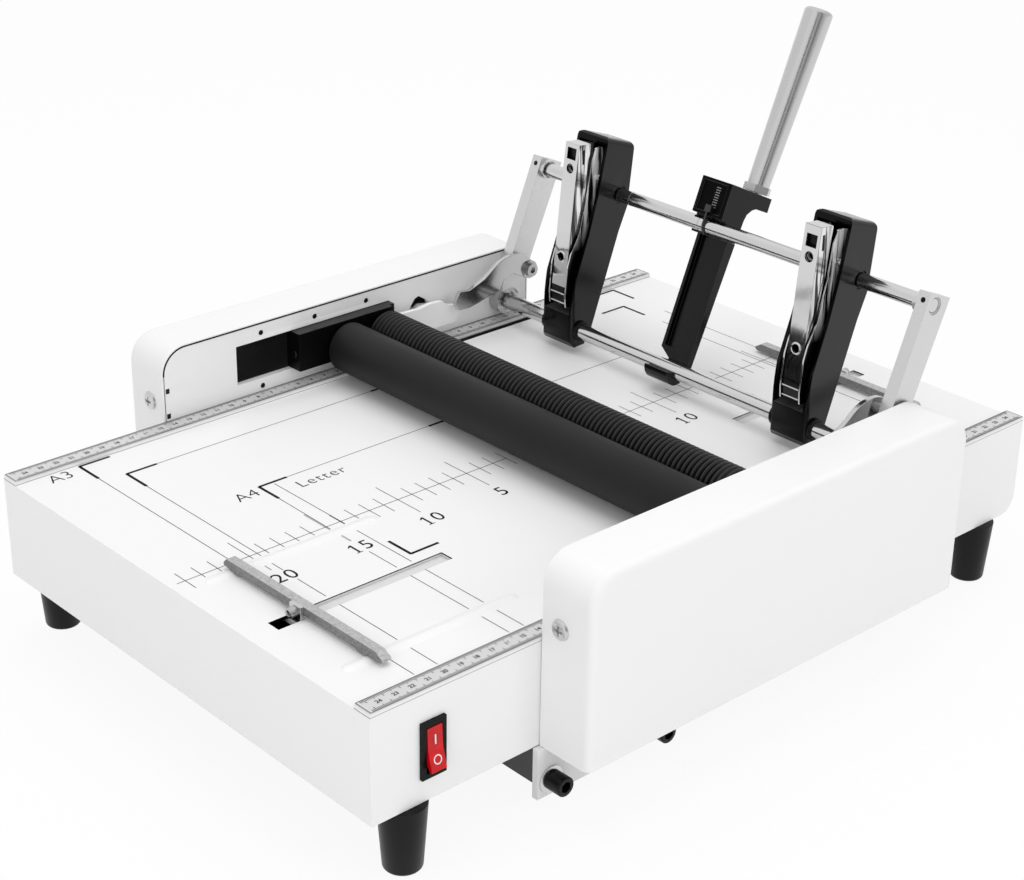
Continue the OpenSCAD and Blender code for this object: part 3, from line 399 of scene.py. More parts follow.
ruler_out, ruler_in, tick_wide, digit_high = 162.4, 150.5, 0.42, 2.6
contact_shadow_z, backing_z, steel_z, engraving_z = 97.99, 98.25, 100, 100.6
digits = {number: letters(str(number), digit_high, 0, 0, 0, bold=0.12) for number in range(1, 25)}
for side, node in ((-1, "ruler_l"), (1, "ruler_r")):
    edges = sorted((side * ruler_out, side * ruler_in))
    piece(node + "_backing", bar(edges, (-249.9, 249.9), (backing_z, steel_z), 0.3), "bed", backing,
          "ruler_steel", node)
    # Painted contact shadow: a thin grey strip below each backing strip.
    piece(node + "_contact_shadow", bar(edges, (-250, 250), (contact_shadow_z, backing_z), 0.02), "bed", contact_shadow_grey,
          "ruler_steel")
    piece(node + "_steel", bar(edges, (-249.4, 249.4), (steel_z, engraving_z), 0.1), "bed", engraved,
          "ruler_steel")
    a, b, end = edges[0] + 0.3, edges[1] - 0.3, 249.1
    marks = [np.array([[[a, -249], [a, 249]], [[b, -249], [b, 249]],
                       [[a, -end], [b, -end]], [[a, end], [b, end]]])]
    for step, reach in ((1, 1.9), (5, 2.6), (10, 3.4)):
        y = np.arange(-247, 248, step) if step == 1 else np.arange(-245, 246, step)
        for edge, way in zip(edges, (1, -1)):
            ends = (np.stack([np.full(len(y), edge + way * far), y], -1) for far in (0.4, 0.4 + reach))
            marks.append(np.stack(list(ends), 1))
    level = engraving_z + 0.05
    cut = strokes(np.concatenate(marks), tick_wide, level)
    for number, ((points, faces, tint),) in digits.items():
        cut += [(points + [side * 156.5, way * 10 * number, level], faces, tint) for way in (-1, 1)]
    piece(node + "_engraving", cut, "bed", engraving, "dark_sheet", solid=False)


# Side plates: 4 mm laser cut plates bolted to the bed, with a long window for the carriage and a hook slot.
# They wear the same white coat; their small bolts are black, and black blocks in the two tab holes are
# painted shade.
button_black = finish("blackened screw", "#0F0F0F", 0.38, 0.4, 0.01, metal=0.3, mottle=0.1, patch=6)
plate_face = side_x + 0.2
button = [[0.2, 0], [0.2, 0.9], [-0.4, 0.9], [-0.4, 1.2], [0, 1.55], [1.2, 1.6], [1.2, 0]]
for side, node in ((-1, "side_plate_l"), (1, "side_plate_r")):
    eased(node, node + "_skin", 0.4, "bed", white, "white_paint", steps=2)
    bolts = []
    for y, z in ((-72, 40.3), (-31.6, 40.3), (8.5, 40.3), (-72, 5.7)):
        bolts += turned(button, [side * plate_face, y, bed_top + z], [side, 0, 0], 24)
    # Painted shade: black blocks fill the two square tab holes.
    for z in (5.3, 21.3):
        deep = sorted((side * (plate_face - 0.25), side * (plate_face + 1.2)))
        bolts += bar(deep, (-141.15, -138.7), (bed_top + z - 1.5, bed_top + z + 1.5), 0.2)
    piece(node + "_bolts", bolts, "bed", button_black, "dark_sheet")


# Side covers: thin sheet hoods folded round three edges, 35 mm deep, that close each end of the machine.
# White powder coat outside, painted dark inside as painted shade, with a soft bend where the face turns
# into the rim. A black strip along the joint between each rim and the plate is a painted shadow of the gap,
# seen as a thin dark line.
cover_in, cover_out, cover_front, cover_rear, cover_high = 162.8, 197.5, -143.4, 145.2, 145.6
cover_bend, cover_sheet, cover_corner = 4.2, 1.2, 16.8


def outline(x, d):
    """One line along the cover's outline, d mm inside it: up the front edge, over both corners, down the
    rear. Each corner is cos and sin of a quarter turn times the corner radius less d."""
    turn, r, cz = np.radians(np.linspace(0, 90, 13)), cover_corner - d, cover_high - cover_corner
    y0, y1 = cover_front + cover_corner, cover_rear - cover_corner
    front, rear = [cover_front + d] * 2, [cover_rear - d] * 2
    y = np.concatenate([front, y0 - r * np.cos(turn), y1 + r * np.sin(turn), rear])
    z = np.concatenate([[bed_low, cz - 2], cz + r * np.sin(turn), cz + r * np.cos(turn), [cz - 2, bed_low]])
    return np.stack([np.full(len(y), x), y, z], -1)


def bend(size):
    """The section of the bend, as places across and in from the rim: a quarter arc of that radius about the
    one centre that the outer and inner skins share."""
    a = np.radians(np.linspace(0, 90, 7))
    across = cover_out - cover_bend + size * np.sin(a)
    return np.stack([across, cover_bend - size * np.cos(a)], -1).tolist()


def hood(side):
    """Across the section from the rim's lip round the bend to the middle of the face and back inside; along
    the outline from the front edge over both round corners to the rear edge."""
    outer = [[cover_in, 0.3], [cover_in + 0.3, 0], *bend(cover_bend)]
    inner = [[cover_in, cover_sheet], *bend(cover_bend - cover_sheet)]
    rim, lining = (np.array([outline(side * x, d) for x, d in skin]) for skin in (outer, inner))
    share = np.linspace(0, 1, 5)[:, None, None]
    face, back = (
        edge + (np.array([side * x, (cover_front + cover_rear) / 2, bed_low]) - edge) * share
        for edge, x in ((rim[-1], cover_out), (lining[-1], cover_out - cover_sheet)))
    lip = np.array([lining[0], rim[0]])
    foot = np.array([[*rim[:, k], *face[1:, k], *back[:0:-1, k], *lining[::-1, k]] for k in (0, -1)])
    ends = [(loop, np.arange(len(loop))[None], 0) for loop in foot]
    return grid(rim) + grid(face) + grid(lip) + grid(lining, tint=1) + grid(back, tint=1) + ends


# Painted shadow: a thin black strip along the joint between each cover's rim and the plate.
painted_gap_shadow = finish("painted gap shadow", "#050505", 0.5, 0.5, 0.01, mottle=0.1, patch=10, shine=0.1)
for side, node in ((-1, "side_cover_l"), (1, "side_cover_r")):
    piece(node + "_hood", hood(side), "bed", [white, blackened_and_shade], "white_paint", node)
    gap_shadow_rows = [outline(side * x, d) for x, d in ((162.75, 0.9), (162.4, 1.1), (162.4, 1.7))]
    piece(node + "_gap_shadow", grid(np.array(gap_shadow_rows)[:, 2:-2]), "bed", painted_gap_shadow, "dark_sheet", solid=False)


# Cover screws: pan head cross screws through the rim of each cover, nickel plated, so only their edge and
# recess look bright and dark.
plated = finish("nickel plating", "#CFCFCF", 0.24, 0.3, 0.004, metal=1.0, mottle=0.05, patch=8)


def cross_screw(x, y, z, way, radius=5.6, high=2.2):
    """A dome whose height falls with the square of the radius, cut by two crossing grooves with sloping
    floors."""
    reach, angle = np.meshgrid(np.linspace(0, 1, 28), np.linspace(0, 2 * np.pi, 96, endpoint=False),
                               indexing="ij")
    u, v = radius * reach * np.cos(angle), radius * reach * np.sin(angle)
    edge = np.clip((1.02 - reach) / 0.12, 0, 1) ** 0.5
    top = high * np.sqrt(np.clip(1 - 0.85 * reach**2, 0, 1)) * edge
    slit = np.clip((0.75 - np.minimum(np.abs(u), np.abs(v))) / 0.2, 0, 1)
    groove = slit * np.clip((2.9 - radius * reach) / 0.5, 0, 1)
    top = np.where(reach >= 1, 0, top - 1.5 * groove)
    return grid(np.stack([x + u, y + way * top, z + v], -1), around=True)


heads = []
for x in (-176, 176):
    heads += cross_screw(x, cover_front, 110, -1) + cross_screw(x, cover_rear, 110, 1)
piece("cover_screw_heads", heads, "bed", plated, "plated_steel", "cover_screws", solid=False, crease=50)


# Tie screws: black socket screws with bright washers that clamp the side plates to the cross member. Two
# stand at the foot of each side plate, below its cover.
def socket_head(centre, axis, radius, high, key, deep):
    """A turned head with a rounded crown, and a hexagonal socket whose ring of walls steps down to its
    floor: the hexagon's radius is half its width over the cosine of the angle from the nearest flat."""
    crown = [[0, 0], [0, radius], *corner(high - 0.7, radius - 0.7, 0.7, 90, 20), [high, radius - 1.1]]
    head = turned(crown, centre, axis, 48)
    axis = np.array(axis, float)
    side = np.cross(axis, [0, 0, 1.0]) / np.linalg.norm(np.cross(axis, [0, 0, 1.0]))
    angle = 2 * np.pi * np.arange(48) / 48
    hexed = key / np.cos((angle + np.pi / 6) % (np.pi / 3) - np.pi / 6)
    ring = np.cos(angle)[:, None] * side + np.sin(angle)[:, None] * np.cross(axis, side)
    levels = np.array([high, high, high - deep, high - deep - 0.3])
    radii = np.stack([np.full(48, radius - 1.1), hexed, hexed, np.zeros(48)])
    well = np.array(centre) + levels[:, None, None] * axis + radii[..., None] * ring
    return head + grid(well, around=True)


tie_z, washer_z = 18.3, 17.9
washer = [[0, 5], [0, 7.4], [0.3, 7.7], [1, 7.7], [1.2, 7.4], [1.2, 5]]
tie_heads, tie_washers = [], []
for side in (-1, 1):
    for y in (-138.6, -64.9):
        tie_heads += socket_head([side * 167.6, y, tie_z], [side, 0, 0], 5.5, 10.4, 2.9, 5)
        tie_washers += turned(washer, [side * 166.5, y, washer_z], [side, 0, 0], 48)
piece("tie_screw_heads", tie_heads, "bed", satin_black, "black_steel", "tie_screws")
piece("tie_screw_washers", tie_washers, "bed", plated, "plated_steel")


# Switch: a snap-in rocker with a black frame on the right hand side of the bed. The rocker is clear red
# plastic that glows a little from within, pressed to off, with a white bar at the top and a white ring
# below.
frame_black = finish("black switch plastic", "#08090A", 0.3, 0.35, 0.01, mottle=0.1, patch=10, shine=0.12)
lamp_red = finish("clear red plastic", "#C8050F", 0.12, 0.4, 0.004, mottle=0.5, patch=6, shine=0.3,
                  **{"Subsurface Weight": 0.1, "Subsurface Scale": 0.002})
mark_white = finish("pad printed white", "#F2E4E4", 0.45, 0.3, 0.003, mottle=0.02)
eased("switch_bezel", "switch_frame", 0.7, "bed", frame_black, "black_plastic")
eased("rocker", "switch_rocker", 0.5, "rocker", lamp_red, "red_plastic")
rocker_place = np.array([side_x, -213.0, 67.25])
upper, lower = ((2.8, 0), (2.2, 12.35)), ((5.8, -10.65), (2.8, 0))


def on_rocker(face, u, v, lift=0.12):
    """A place on one of the rocker's two faces, whose lower and upper ends are given: v up the face from
    its middle, u across it, and lift out of it."""
    (x0, z0), (x1, z1) = face
    up = np.array([x1 - x0, z1 - z0]) / np.hypot(x1 - x0, z1 - z0)
    x = (x0 + x1) / 2 + v * up[0] + lift * up[1]
    z = (z0 + z1) / 2 + v * up[1] - lift * up[0]
    return rocker_place + np.stack([x, u, z], -1)


turns = np.linspace(0, 2 * np.pi, 40, endpoint=False)
circle = np.stack([on_rocker(lower, r * np.cos(turns), r * np.sin(turns) + 0.2) for r in (1.85, 2.5)])
stroke = on_rocker(upper, np.array([[-0.45, 0.45], [-0.45, 0.45]]), np.array([[-3.4, -3.4], [1.8, 1.8]]))
piece("rocker_marks", grid(circle, around=True) + grid(stroke), "rocker", mark_white, "white_paint",
      solid=False)
dress(frame_black, "power_inlet")


# Rollers: steel shafts in rubber sleeves. The front sleeve is ground smooth and dull; the rear one is
# moulded with rings 3.54 mm apart so that it grips the booklet's spine, and keeps a little shine. Their
# shafts are bright turned steel, and their greyer gears run in the right hand cover.
ground_rubber = finish("ground black rubber", "#161616", 0.55, 0.5, 0.012, mottle=0.06, patch=45,
                       spread=0.05, shine=0.25)
ring_rubber = finish("moulded ring rubber", "#0D0D0D", 0.34, 0.6, 0.012, mottle=0.12, patch=15, shine=0.4)
turned_steel = finish("turned steel", "#BABABA", 0.26, 0.25, 0.005, metal=1.0, mottle=0.05, patch=12,
                      stretch=(1, 0.1, 0.1))
gear_steel = finish("hobbed gear steel", "#8E8C86", 0.35, 0.3, 0.008, metal=1.0, mottle=0.08, patch=6)
roller_end, axle = 152.5, 117.0
smooth_axis, ringed_axis = [0, -14, axle], [0, 17, axle]
smooth = [[-roller_end, 4], [-roller_end, 14.6], [-roller_end + 1, 15.6], [roller_end - 1, 15.6],
          [roller_end, 14.6], [roller_end, 4]]
piece("smooth_sleeve", turned(smooth, smooth_axis, [1, 0, 0], 128), "smooth_roller", ground_rubber,
      "smooth_rubber", "roller_front")
ring_pitch, ring_count, ring_top, ring_deep = 3.54, 86, 15, 1.8
x = np.linspace(-roller_end + 0.4, roller_end - 0.4, ring_count * 8 + 1)
wave = 0.5 - 0.5 * np.cos(2 * np.pi * (x - x[0]) / ring_pitch)
ribs = np.stack([x, ring_top - ring_deep * wave**2], -1).tolist()
ringed = [[-roller_end, 4], [-roller_end, 13.6], *ribs, [roller_end, 13.6], [roller_end, 4]]
piece("ringed_sleeve", turned(ringed, ringed_axis, [1, 0, 0], 80), "ribbed_roller", ring_rubber,
      "ribbed_rubber", "roller_rear", crease=60)
shaft = [[-168.3, 0], [-168.3, 3.6], [-167.9, 4], [176.6, 4], [177, 3.6], [177, 0]]
for name, axis, body in (("smooth_shaft", smooth_axis, "smooth_roller"),
                         ("ringed_shaft", ringed_axis, "ribbed_roller")):
    piece(name, turned(shaft, axis, [1, 0, 0], 48), body, turned_steel, "plated_steel")
eased("gear_front", "front_gear", 0.15, "smooth_roller", gear_steel, "brass", steps=2)
eased("gear_rear", "rear_gear", 0.15, "ribbed_roller", gear_steel, "brass", steps=2)
eased("motor_pinion", "pinion", 0.12, "motor_shaft", gear_steel, "brass", steps=2)


# Carriage: black anodised side bars that hold the rollers and slide forward in the side plates' windows,
# pushed by short white links. The bars are satin on top and dull on their milled sides, which are painted
# darker than the top as painted shade, and each has a socket screw in its front end.
anodised = finish("black anodised bar", "#1E1E1E", 0.33, 0.4, 0.01, metal=0.2, mottle=0.1, patch=14,
                  spread=0.08, shine=0.35)
shaded_side_black = finish("black bar side with painted shade", "#060606", 0.4, 0.4, 0.01, mottle=0.1, patch=14, shine=0.12)
for side, node in ((-1, "carriage_bar_l"), (1, "carriage_bar_r")):
    eased(node, node + "_body", 0.7, "carriage", [anodised, shaded_side_black], "black_plastic",
          tint=lambda c, n: n[:, 2] < 0.5)
    end_screw = socket_head([side * 159.2, -49.9, 119.4], [0, -1, 0], 2.1, 0.7, 1.2, 0.6)
    piece(node + "_screw", end_screw, "carriage", button_black, "black_steel")
eased("push_links", "carriage_links", 0.35, "carriage", white, "plated_steel", steps=2)
eased("roller_motor", "drive_motor", 0.5, "carriage", blackened_and_shade, "dark_sheet", steps=2)


# Folding knife and its drive: a ground steel blade on a rack carrier, two pinions on a shaft, and a small
# motor, all under the bed. They show only through the slits and from below.
blade_steel = finish("ground blade steel", "#B9B9B9", 0.22, 0.3, 0.004, metal=1.0, mottle=0.04, patch=20,
                     stretch=(0.05, 1, 1))
eased("knife_blade", "folding_blade", 0.2, "knife", blade_steel, "stop_steel", steps=2)
eased("knife_rack", "rack_carrier", 0.25, "knife", gear_steel, "black_steel", steps=2)
eased("knife_shaft", "knife_pinions", 0.15, "knife_drive", gear_steel, "black_steel", steps=2)
eased("knife_frame", "knife_posts", 0.4, "bed", blackened_and_shade, "dark_sheet", steps=2)
eased("knife_motor", "lift_motor", 0.6, "bed", blackened_and_shade, "dark_sheet", steps=2)
eased("anvils", "staple_anvils", 0.4, "bed", plated, "plated_steel", steps=2)


# Lever frame: two polished rods joined by flat brushed arms, with collars and bushes on the lower rod and
# cam plates that bolt to the arms. Everything here is steel or aluminium with a bright finish, whose grain
# runs along the arms and the rods.
pivot, lean = np.array([0.0, 120.0, 112.5]), np.radians(22.3)
brushed = finish("brushed aluminium", "#D7D7D7", 0.33, 0.4, 0.012, metal=0.85, mottle=0.03, patch=40,
                 stretch=(1, 1, 0.03), turn=(lean, 0, 0))
polished = finish("polished steel plate", "#C6C6C6", 0.17, 0.8, 0.004, metal=1.0, mottle=0.04, patch=25)
ground_rod = finish("centreless ground rod", "#D3D3D3", 0.16, 0.3, 0.003, metal=1.0, mottle=0.03, patch=30,
                    stretch=(1, 0.15, 0.15))


def on_lever(x, off, up):
    """A place on the leaning lever: off behind the line through the rods, and up along it from the lower
    rod."""
    x, off, up = np.broadcast_arrays(np.asarray(x, float), off, up)
    return np.stack([x, pivot[1] + off * np.cos(lean) + up * np.sin(lean),
                     pivot[2] - off * np.sin(lean) + up * np.cos(lean)], -1)


def rod(reach, radius, seams):
    """The profile of a rod with cut back ends and fine turned seams."""
    groove = ((-0.3, 0), (-0.15, 0.35), (0.15, 0.35), (0.3, 0))
    cuts = [[seam + along, radius - deep] for seam in seams for along, deep in groove]
    return [[-reach, 0], [-reach, radius - 0.6], [-reach + 0.6, radius], *cuts, [reach - 0.6, radius],
            [reach, radius - 0.6], [reach, 0]]


upper_axis = on_lever(0, -2.6, 89.6)
piece("upper_rod_bar", turned(rod(160, 4.5, (-74, -15)), upper_axis, [1, 0, 0], 72), "lever", ground_rod,
      "rod_chrome", "upper_rod")
piece("lower_rod_bar", turned(rod(166.5, 5, (-128, 128)), pivot, [1, 0, 0], 72), "lever", ground_rod,
      "rod_chrome", "lower_rod")
ahead, skyward = (on_lever(0, off, up) - on_lever(0, 0, 0) for off, up in ((-1, 0), (0, 1)))
for side, tail in ((-1, "l"), (1, "r")):
    eased("arm_" + tail, "arm_plate_" + tail, 0.45, "lever", brushed, "arm_steel")
    eased("cam_" + tail, "cam_plate_" + tail, 0.3, "lever", polished, "plated_steel", steps=2)
    grub = socket_head(on_lever(side * 157, -7.5, 91.1), ahead, 1.55, 0.9, 0.8, 0.8)
    piece("arm_grub_screw_" + tail, grub, "lever", button_black, "black_steel")
eased("rod_collars", "collars", 0.5, "lever", turned_steel, "plated_steel")
eased("rod_bushes", "head_bushes", 0.3, "lever", satin_black, "plated_steel")
eased("cam_bolts", "cam_plate_bolts", 0.3, "lever", turned_steel, "plated_steel", steps=2)


# Stapling heads: deep black channels, moulded and painted to a piano gloss, with rounded outer edges. They
# hang on both rods and hold the chrome magazines. Their fronts are drawn deeper as painted shade, and their
# tops greyer than the gloss as a painted sheen.
piano_black = finish("piano black enamel", "#060606", 0.16, 2.5, 0.006, mottle=0.1, patch=30,
                     spread=0.04, shine=0.36)
shaded_front = finish("shaded black enamel", "#030303", 0.16, 2.5, 0.006, mottle=0.1, patch=30,
                      spread=0.04, shine=0.12)
sheen_top_black = finish("black enamel with painted sheen", "#4A4A4A", 0.2, 2.5, 0.01, mottle=0.5, patch=12, spread=0.1)
head_x = 97.0


def head_tint(c, n):
    """Painted shade on the faces that look ahead, painted sheen on those that look up along the lever."""
    return np.where(n @ ahead > 0.6, 1, np.where(n @ skyward > 0.8, 2, 0))


def head_edges(m):
    """A wide round on the two outer flanks of each channel, a narrow one on all other edges."""
    past = m[:, 0] - head_x * np.sign(m[:, 0])
    return np.where((past < -15.3) | (past > 11.2), 1.5, 0.35)


for tail in "lr":
    eased("stapler_" + tail, "head_channel_" + tail, head_edges, "lever",
          [piano_black, shaded_front, sheen_top_black], "black_gloss", steps=5, tint=head_tint)


# Magazines: folded strip boxes, bright chrome, that swing a little on a pin between two chrome side leaves.
# Each has a square and a round window at the top, a bright eyelet low down in its face and a blued foot
# with two clips. The drawn sides and the leaves carry painted reflections, dark streaks along their length,
# and the leaves are painted dark below 165 mm as painted shade.
chrome = finish("bright chrome", "#D2D2D2", 0.07, 3.0, 0.006, metal=1.0, mottle=0.03, patch=25, spread=0.03)
spring_steel = finish("wound spring wire", "#8F8F8F", 0.3, 0.3, 0.003, metal=1.0, mottle=0.05, patch=5)
drawn_side = finish("drawn chrome side", "#DDDDDD", 0.1, 2.0, 0.01, metal=1.0, mottle=0.03, patch=25,
                    spread=0.03, stretch=(1, 1, 0.1))
leaf_face = finish("satin leaf face", "#E2E2E2", 0.22, 1.5, 0.01, metal=0.35, stretch=(1, 1, 0.1))
# Painted reflection and shade: noise drawn out along the lever mixes a dark tone into the colour, and on
# the leaves all below 165 mm is painted dark.
for drawn, dark, lit_from in ((drawn_side, "#3C3C3C", 0.0), (leaf_face, "#060606", 0.165)):
    tree = drawn.node_tree
    place = add(tree, "TexCoord", {}).outputs["Object"]
    lengthwise = add(tree, "Mapping", {"Vector": place, "Rotation": (lean, 0, 0), "Scale": (300, 300, 22)})
    reflection_noise = add(tree, "TexNoise", {"Vector": lengthwise.outputs["Vector"], "Scale": 1.0, "Detail": 2.0,
                                   "Distortion": 0.6})
    reflection_streaks = add(tree, "MapRange", {"Value": reflection_noise.outputs[0], "From Min": 0.42, "From Max": 0.55})
    height = add(tree, "MapRange", {"Value": add(tree, "SeparateXYZ", {0: place}).outputs["Z"],
                                    "From Min": lit_from, "From Max": lit_from + 0.02})
    lit = add(tree, "Math", {0: reflection_streaks.outputs[0], 1: height.outputs[0]}, operation="MULTIPLY")
    painted_reflection_and_shade = add(tree, "Mix", {"Factor": lit.outputs[0], "A": linear(dark), "B": linear("#E5E5E5")},
                 data_type="RGBA")
    tree.links.new(painted_reflection_and_shade.outputs[2], tree.nodes["Principled BSDF"].inputs["Base Color"])
folded_edge = finish("shaded fold", "#6B6B6B", 0.2, 1.0, 0.004, metal=1.0, mottle=0.1, patch=12)
blued_foot = finish("blued strip end", "#333333", 0.2, 1.0, 0.004, metal=1.0, mottle=0.2, patch=5)
eased("leaf_springs", "side_leaves", 0.3, "lever", [chrome, leaf_face], "rod_chrome", steps=2,
      tint=lambda c, n: np.abs(n[:, 0]) > 0.7, rim=0)


def box_tint(c, n):
    """Drawn chrome on the sides, blued steel on the foot, which ends 141 mm up, and chrome elsewhere."""
    return np.where(np.abs(n[:, 0]) > 0.7, 1, np.where(c[:, 2] < 141, 3, 0))


def coil(x, y, z, radius, wire, slant, count):
    """A spring seen end on: a circle of wire carried round count turns of a circle of that radius, and back
    by slant times the angle turned."""
    t = np.linspace(0, 2 * np.pi * count, 40 * count)[:, None]
    a = np.linspace(0, 2 * np.pi, 10, endpoint=False)[None]
    r = radius + wire * np.cos(a)
    back = y + wire * np.sin(a) + slant * t
    return grid(np.stack([x + r * np.cos(t), back, z + r * np.sin(t)], -1), around=True)


pin = [[-6.1, 0], [-6.1, 0.5], [6.1, 0.5], [6.1, 0]]
eyelet = [[0, 2.55], [-0.5, 2.7], [-0.7, 3.1], [-0.5, 3.5], [0, 3.8], [0.4, 3.8], [0.4, 2.55]]
for side, tail, body, slot_y, slot_z, coil_z in ((-1, "l", "magazine_left", 124.8, 224.7, 217.3),
                                                 (1, "r", "magazine_right", 123.1, 223.6, 214.8)):
    middle = side * head_x - 0.5
    eased("magazine_" + tail, "magazine_box_" + tail, 0.45, body,
          [chrome, drawn_side, folded_edge, blued_foot], "rod_chrome", tint=box_tint, rim=2)
    clips = [turned(pin, [middle, y, z], [1, 0, 0], 16)[0] for y, z in ((111.5, 131.3), (111.2, 137.4))]
    piece("foot_clips_" + tail, clips, body, chrome, "rod_chrome")
    # Painted shade: thin black plates behind the side slot and the face windows.
    shaded = bar((middle + 5.9, middle + 6.08), (slot_y - 0.9, slot_y + 0.9),
                 (slot_z - 4.6, slot_z + 4.6), 0.02)
    shaded += bar((middle - 4.7, middle + 4.7), (122.5, 122.9), (199, 229.8), 0.02)
    piece("painted_shade_slots_" + tail, shaded, body, satin_black, "black_gloss")
    piece("eyelet_" + tail, turned(eyelet, [middle, 113.4, 160.8], [0, 1, -0.1], 40), body, chrome,
          "rod_chrome")
    piece("window_spring_" + tail, coil(middle, 119.9, coil_z, 2.3, 0.45, 0.16, 2), body, spring_steel,
          "plated_steel", solid=False)


# Centre bar and handle block: a black moulded bar that hooks under the lower rod, and a block that sits on
# the upper rod. The block's front is a sunk scale with a white ladder and a sliding pointer on a wire; what
# is sunk is matt, and the rounded edges are painted a little paler as a painted highlight.
block_black = finish("glossy moulded black", "#060606", 0.2, 0.9, 0.01, mottle=0.12, patch=18,
                     spread=0.06, shine=0.22)
sunk_black = finish("matt sunk black", "#040404", 0.5, 0.9, 0.01, mottle=0.1, patch=18, shine=0.06)
pale_edge_highlight = finish("moulded edge with painted highlight", "#1B1B1B", 0.3, 0.9, 0.01, mottle=0.2, patch=9)
white_mark = finish("white filled mark", "#7E7E7E", 0.5, 0.3, 0.004, mottle=0.2, patch=3)
ladder_off, rung_half, rung_left, rung_right = -5.68, 0.3, -9.8, -6.4


def sunk(c, n):
    """The faces that look ahead from 3 to 11.5 mm in front of the rods' line, behind the bar's front."""
    off = (c - pivot) @ -ahead
    return np.where((off > -11.5) & (off < -3) & (n @ ahead > 0.9), 1, 0)


moulded = [block_black, sunk_black, pale_edge_highlight]
eased("lever_channel", "centre_bar", 0.7, "lever", moulded, "black_steel", tint=sunk, rim=2)
eased("holder", "handle_block", 0.7, "lever", moulded, "black_steel", tint=sunk, rim=2)
rungs = np.linspace(101.2, 113.4, 9)[:, None]
across = np.array([[rung_left, rung_right, rung_right, rung_left]]) + 0 * rungs
ladder = on_lever(across, ladder_off, rungs + rung_half * np.array([[-1, -1, 1, 1]])).reshape(-1, 3)
piece("block_ladder", [(ladder, np.arange(len(ladder)).reshape(-1, 4), 0)], "lever", white_mark,
      "white_paint", solid=False)
pointer_grey = finish("oxidised wire", "#454545", 0.35, 0.4, 0.006, metal=0.8, mottle=0.15, patch=4)
eased("scale_pointer", "pointer_slide", 0.2, "lever", pointer_grey, "plated_steel", steps=2)


# Grip: a tapered bar of stainless steel screwed into the block's rear lug over a hexagonal nut. Its skin is
# drawn lengthwise and its top edge rounded.
grip_lean = np.radians(2.2)
grip_axis = on_lever(0, np.sin(grip_lean), np.cos(grip_lean)) - on_lever(0, 0, 0)
grip_foot = on_lever(-4.5, 24.5, 116.3)
drawn_steel = finish("drawn stainless steel", "#CACACA", 0.25, 0.35, 0.008, metal=1.0, mottle=0.04,
                     patch=30, stretch=(1, 1, 0.03), turn=(lean + grip_lean, 0, 0))
taper = [[up, 6.9 + 2 * up / 113] for up in (20, 50, 80, 112)]
grip = [[-9, 0], [-9, 4], [0.4, 4], [0.4, 6.3], [1, 6.9], *taper,
        *corner(113.2, 6.1, 2.8, 80, 5, 7), [116, 0]]
piece("grip_bar", turned(grip, grip_foot, grip_axis, 96), "lever", drawn_steel, "rod_chrome", "handle")
eased("handle_collar", "grip_nut", 0.6, "lever", turned_steel, "plated_steel")


# Paper stops: bars of satin aluminium that stand across each slot, each clamped by a small bracket and a
# socket screw. A white strip below goes with the stop and closes the slot; it is painted light grey as
# painted shade, and black strips on the slots' cut edges are a painted shadow line. The bars' milled sides
# are rough and dull and painted darker as painted shade, and their grain is drawn coarser than it is, so
# that it shows.
satin_bar = finish("satin milled aluminium", "#BABABA", 0.42, 0.9, 0.05, metal=0.6, mottle=0.5, patch=1.5,
                   stretch=(0.4, 1, 1), spread=0.1)
# The milled sides are rough and dull, and painted darker than the top as painted shade.
shaded_milled_side = finish("rough milled side with painted shade", "#868686", 0.5, 0.9, 0.06, metal=0.6, mottle=0.7, patch=1.4,
                     spread=0.1)
strip_z, cut_z = (95.22, 95.9), 97.98
front_strip, rear_strip = (57.5, 75.1), (43.2, 60.8)
front_slide = bar(front_strip, (-209.8, -119), strip_z, 0.05)
rear_slide = bar(rear_strip, (113.2, 204), strip_z, 0.05) + bar(rear_strip, (215.1, 232), strip_z, 0.05)
piece("front_slide_strip", front_slide, "front_fence", shaded_slide_white, "white_paint")
piece("rear_slide_strip", rear_slide, "rear_fence", shaded_slide_white, "white_paint")
# Painted shadow: thin black strips on each slot's left wall and rear end, along the cut edges.
shadow_lines = []
open_end = -205  # in front of this the front strip leaves the slot open, and the painted shadow covers its whole wall
for (x0, x1), (y0, y1) in (front_slot, rear_slot):
    shadow_lines += bar((x0, x0 + 0.06), (max(y0, open_end), y1), (97.4, cut_z), 0.01)
    shadow_lines += bar((x0, x1), (y1 - 0.05, y1), (97.2, cut_z), 0.01)
    if y0 < open_end:
        shadow_lines += bar((x0, x0 + 0.06), (y0, open_end), (96, cut_z), 0.01)
piece("slot_shadow_lines", shadow_lines, "bed", sunk_black, "dark_sheet")
for end in ("front", "rear"):
    eased(end + "_stop", end + "_stop_bar", 0.7, end + "_fence", [satin_bar, shaded_milled_side], "stop_steel",
          tint=lambda c, n: np.abs(n[:, 1]) > 0.6)
    eased(end + "_clamp", end + "_stop_clamp", 0.3, end + "_fence", [plated, shaded_slide_white], "plated_steel",
          steps=2, tint=lambda c, n: c[:, 2] < 97.5)
    eased(end + "_screw", end + "_stop_screw", 0.35, end + "_fence_screw", turned_steel, "plated_steel")


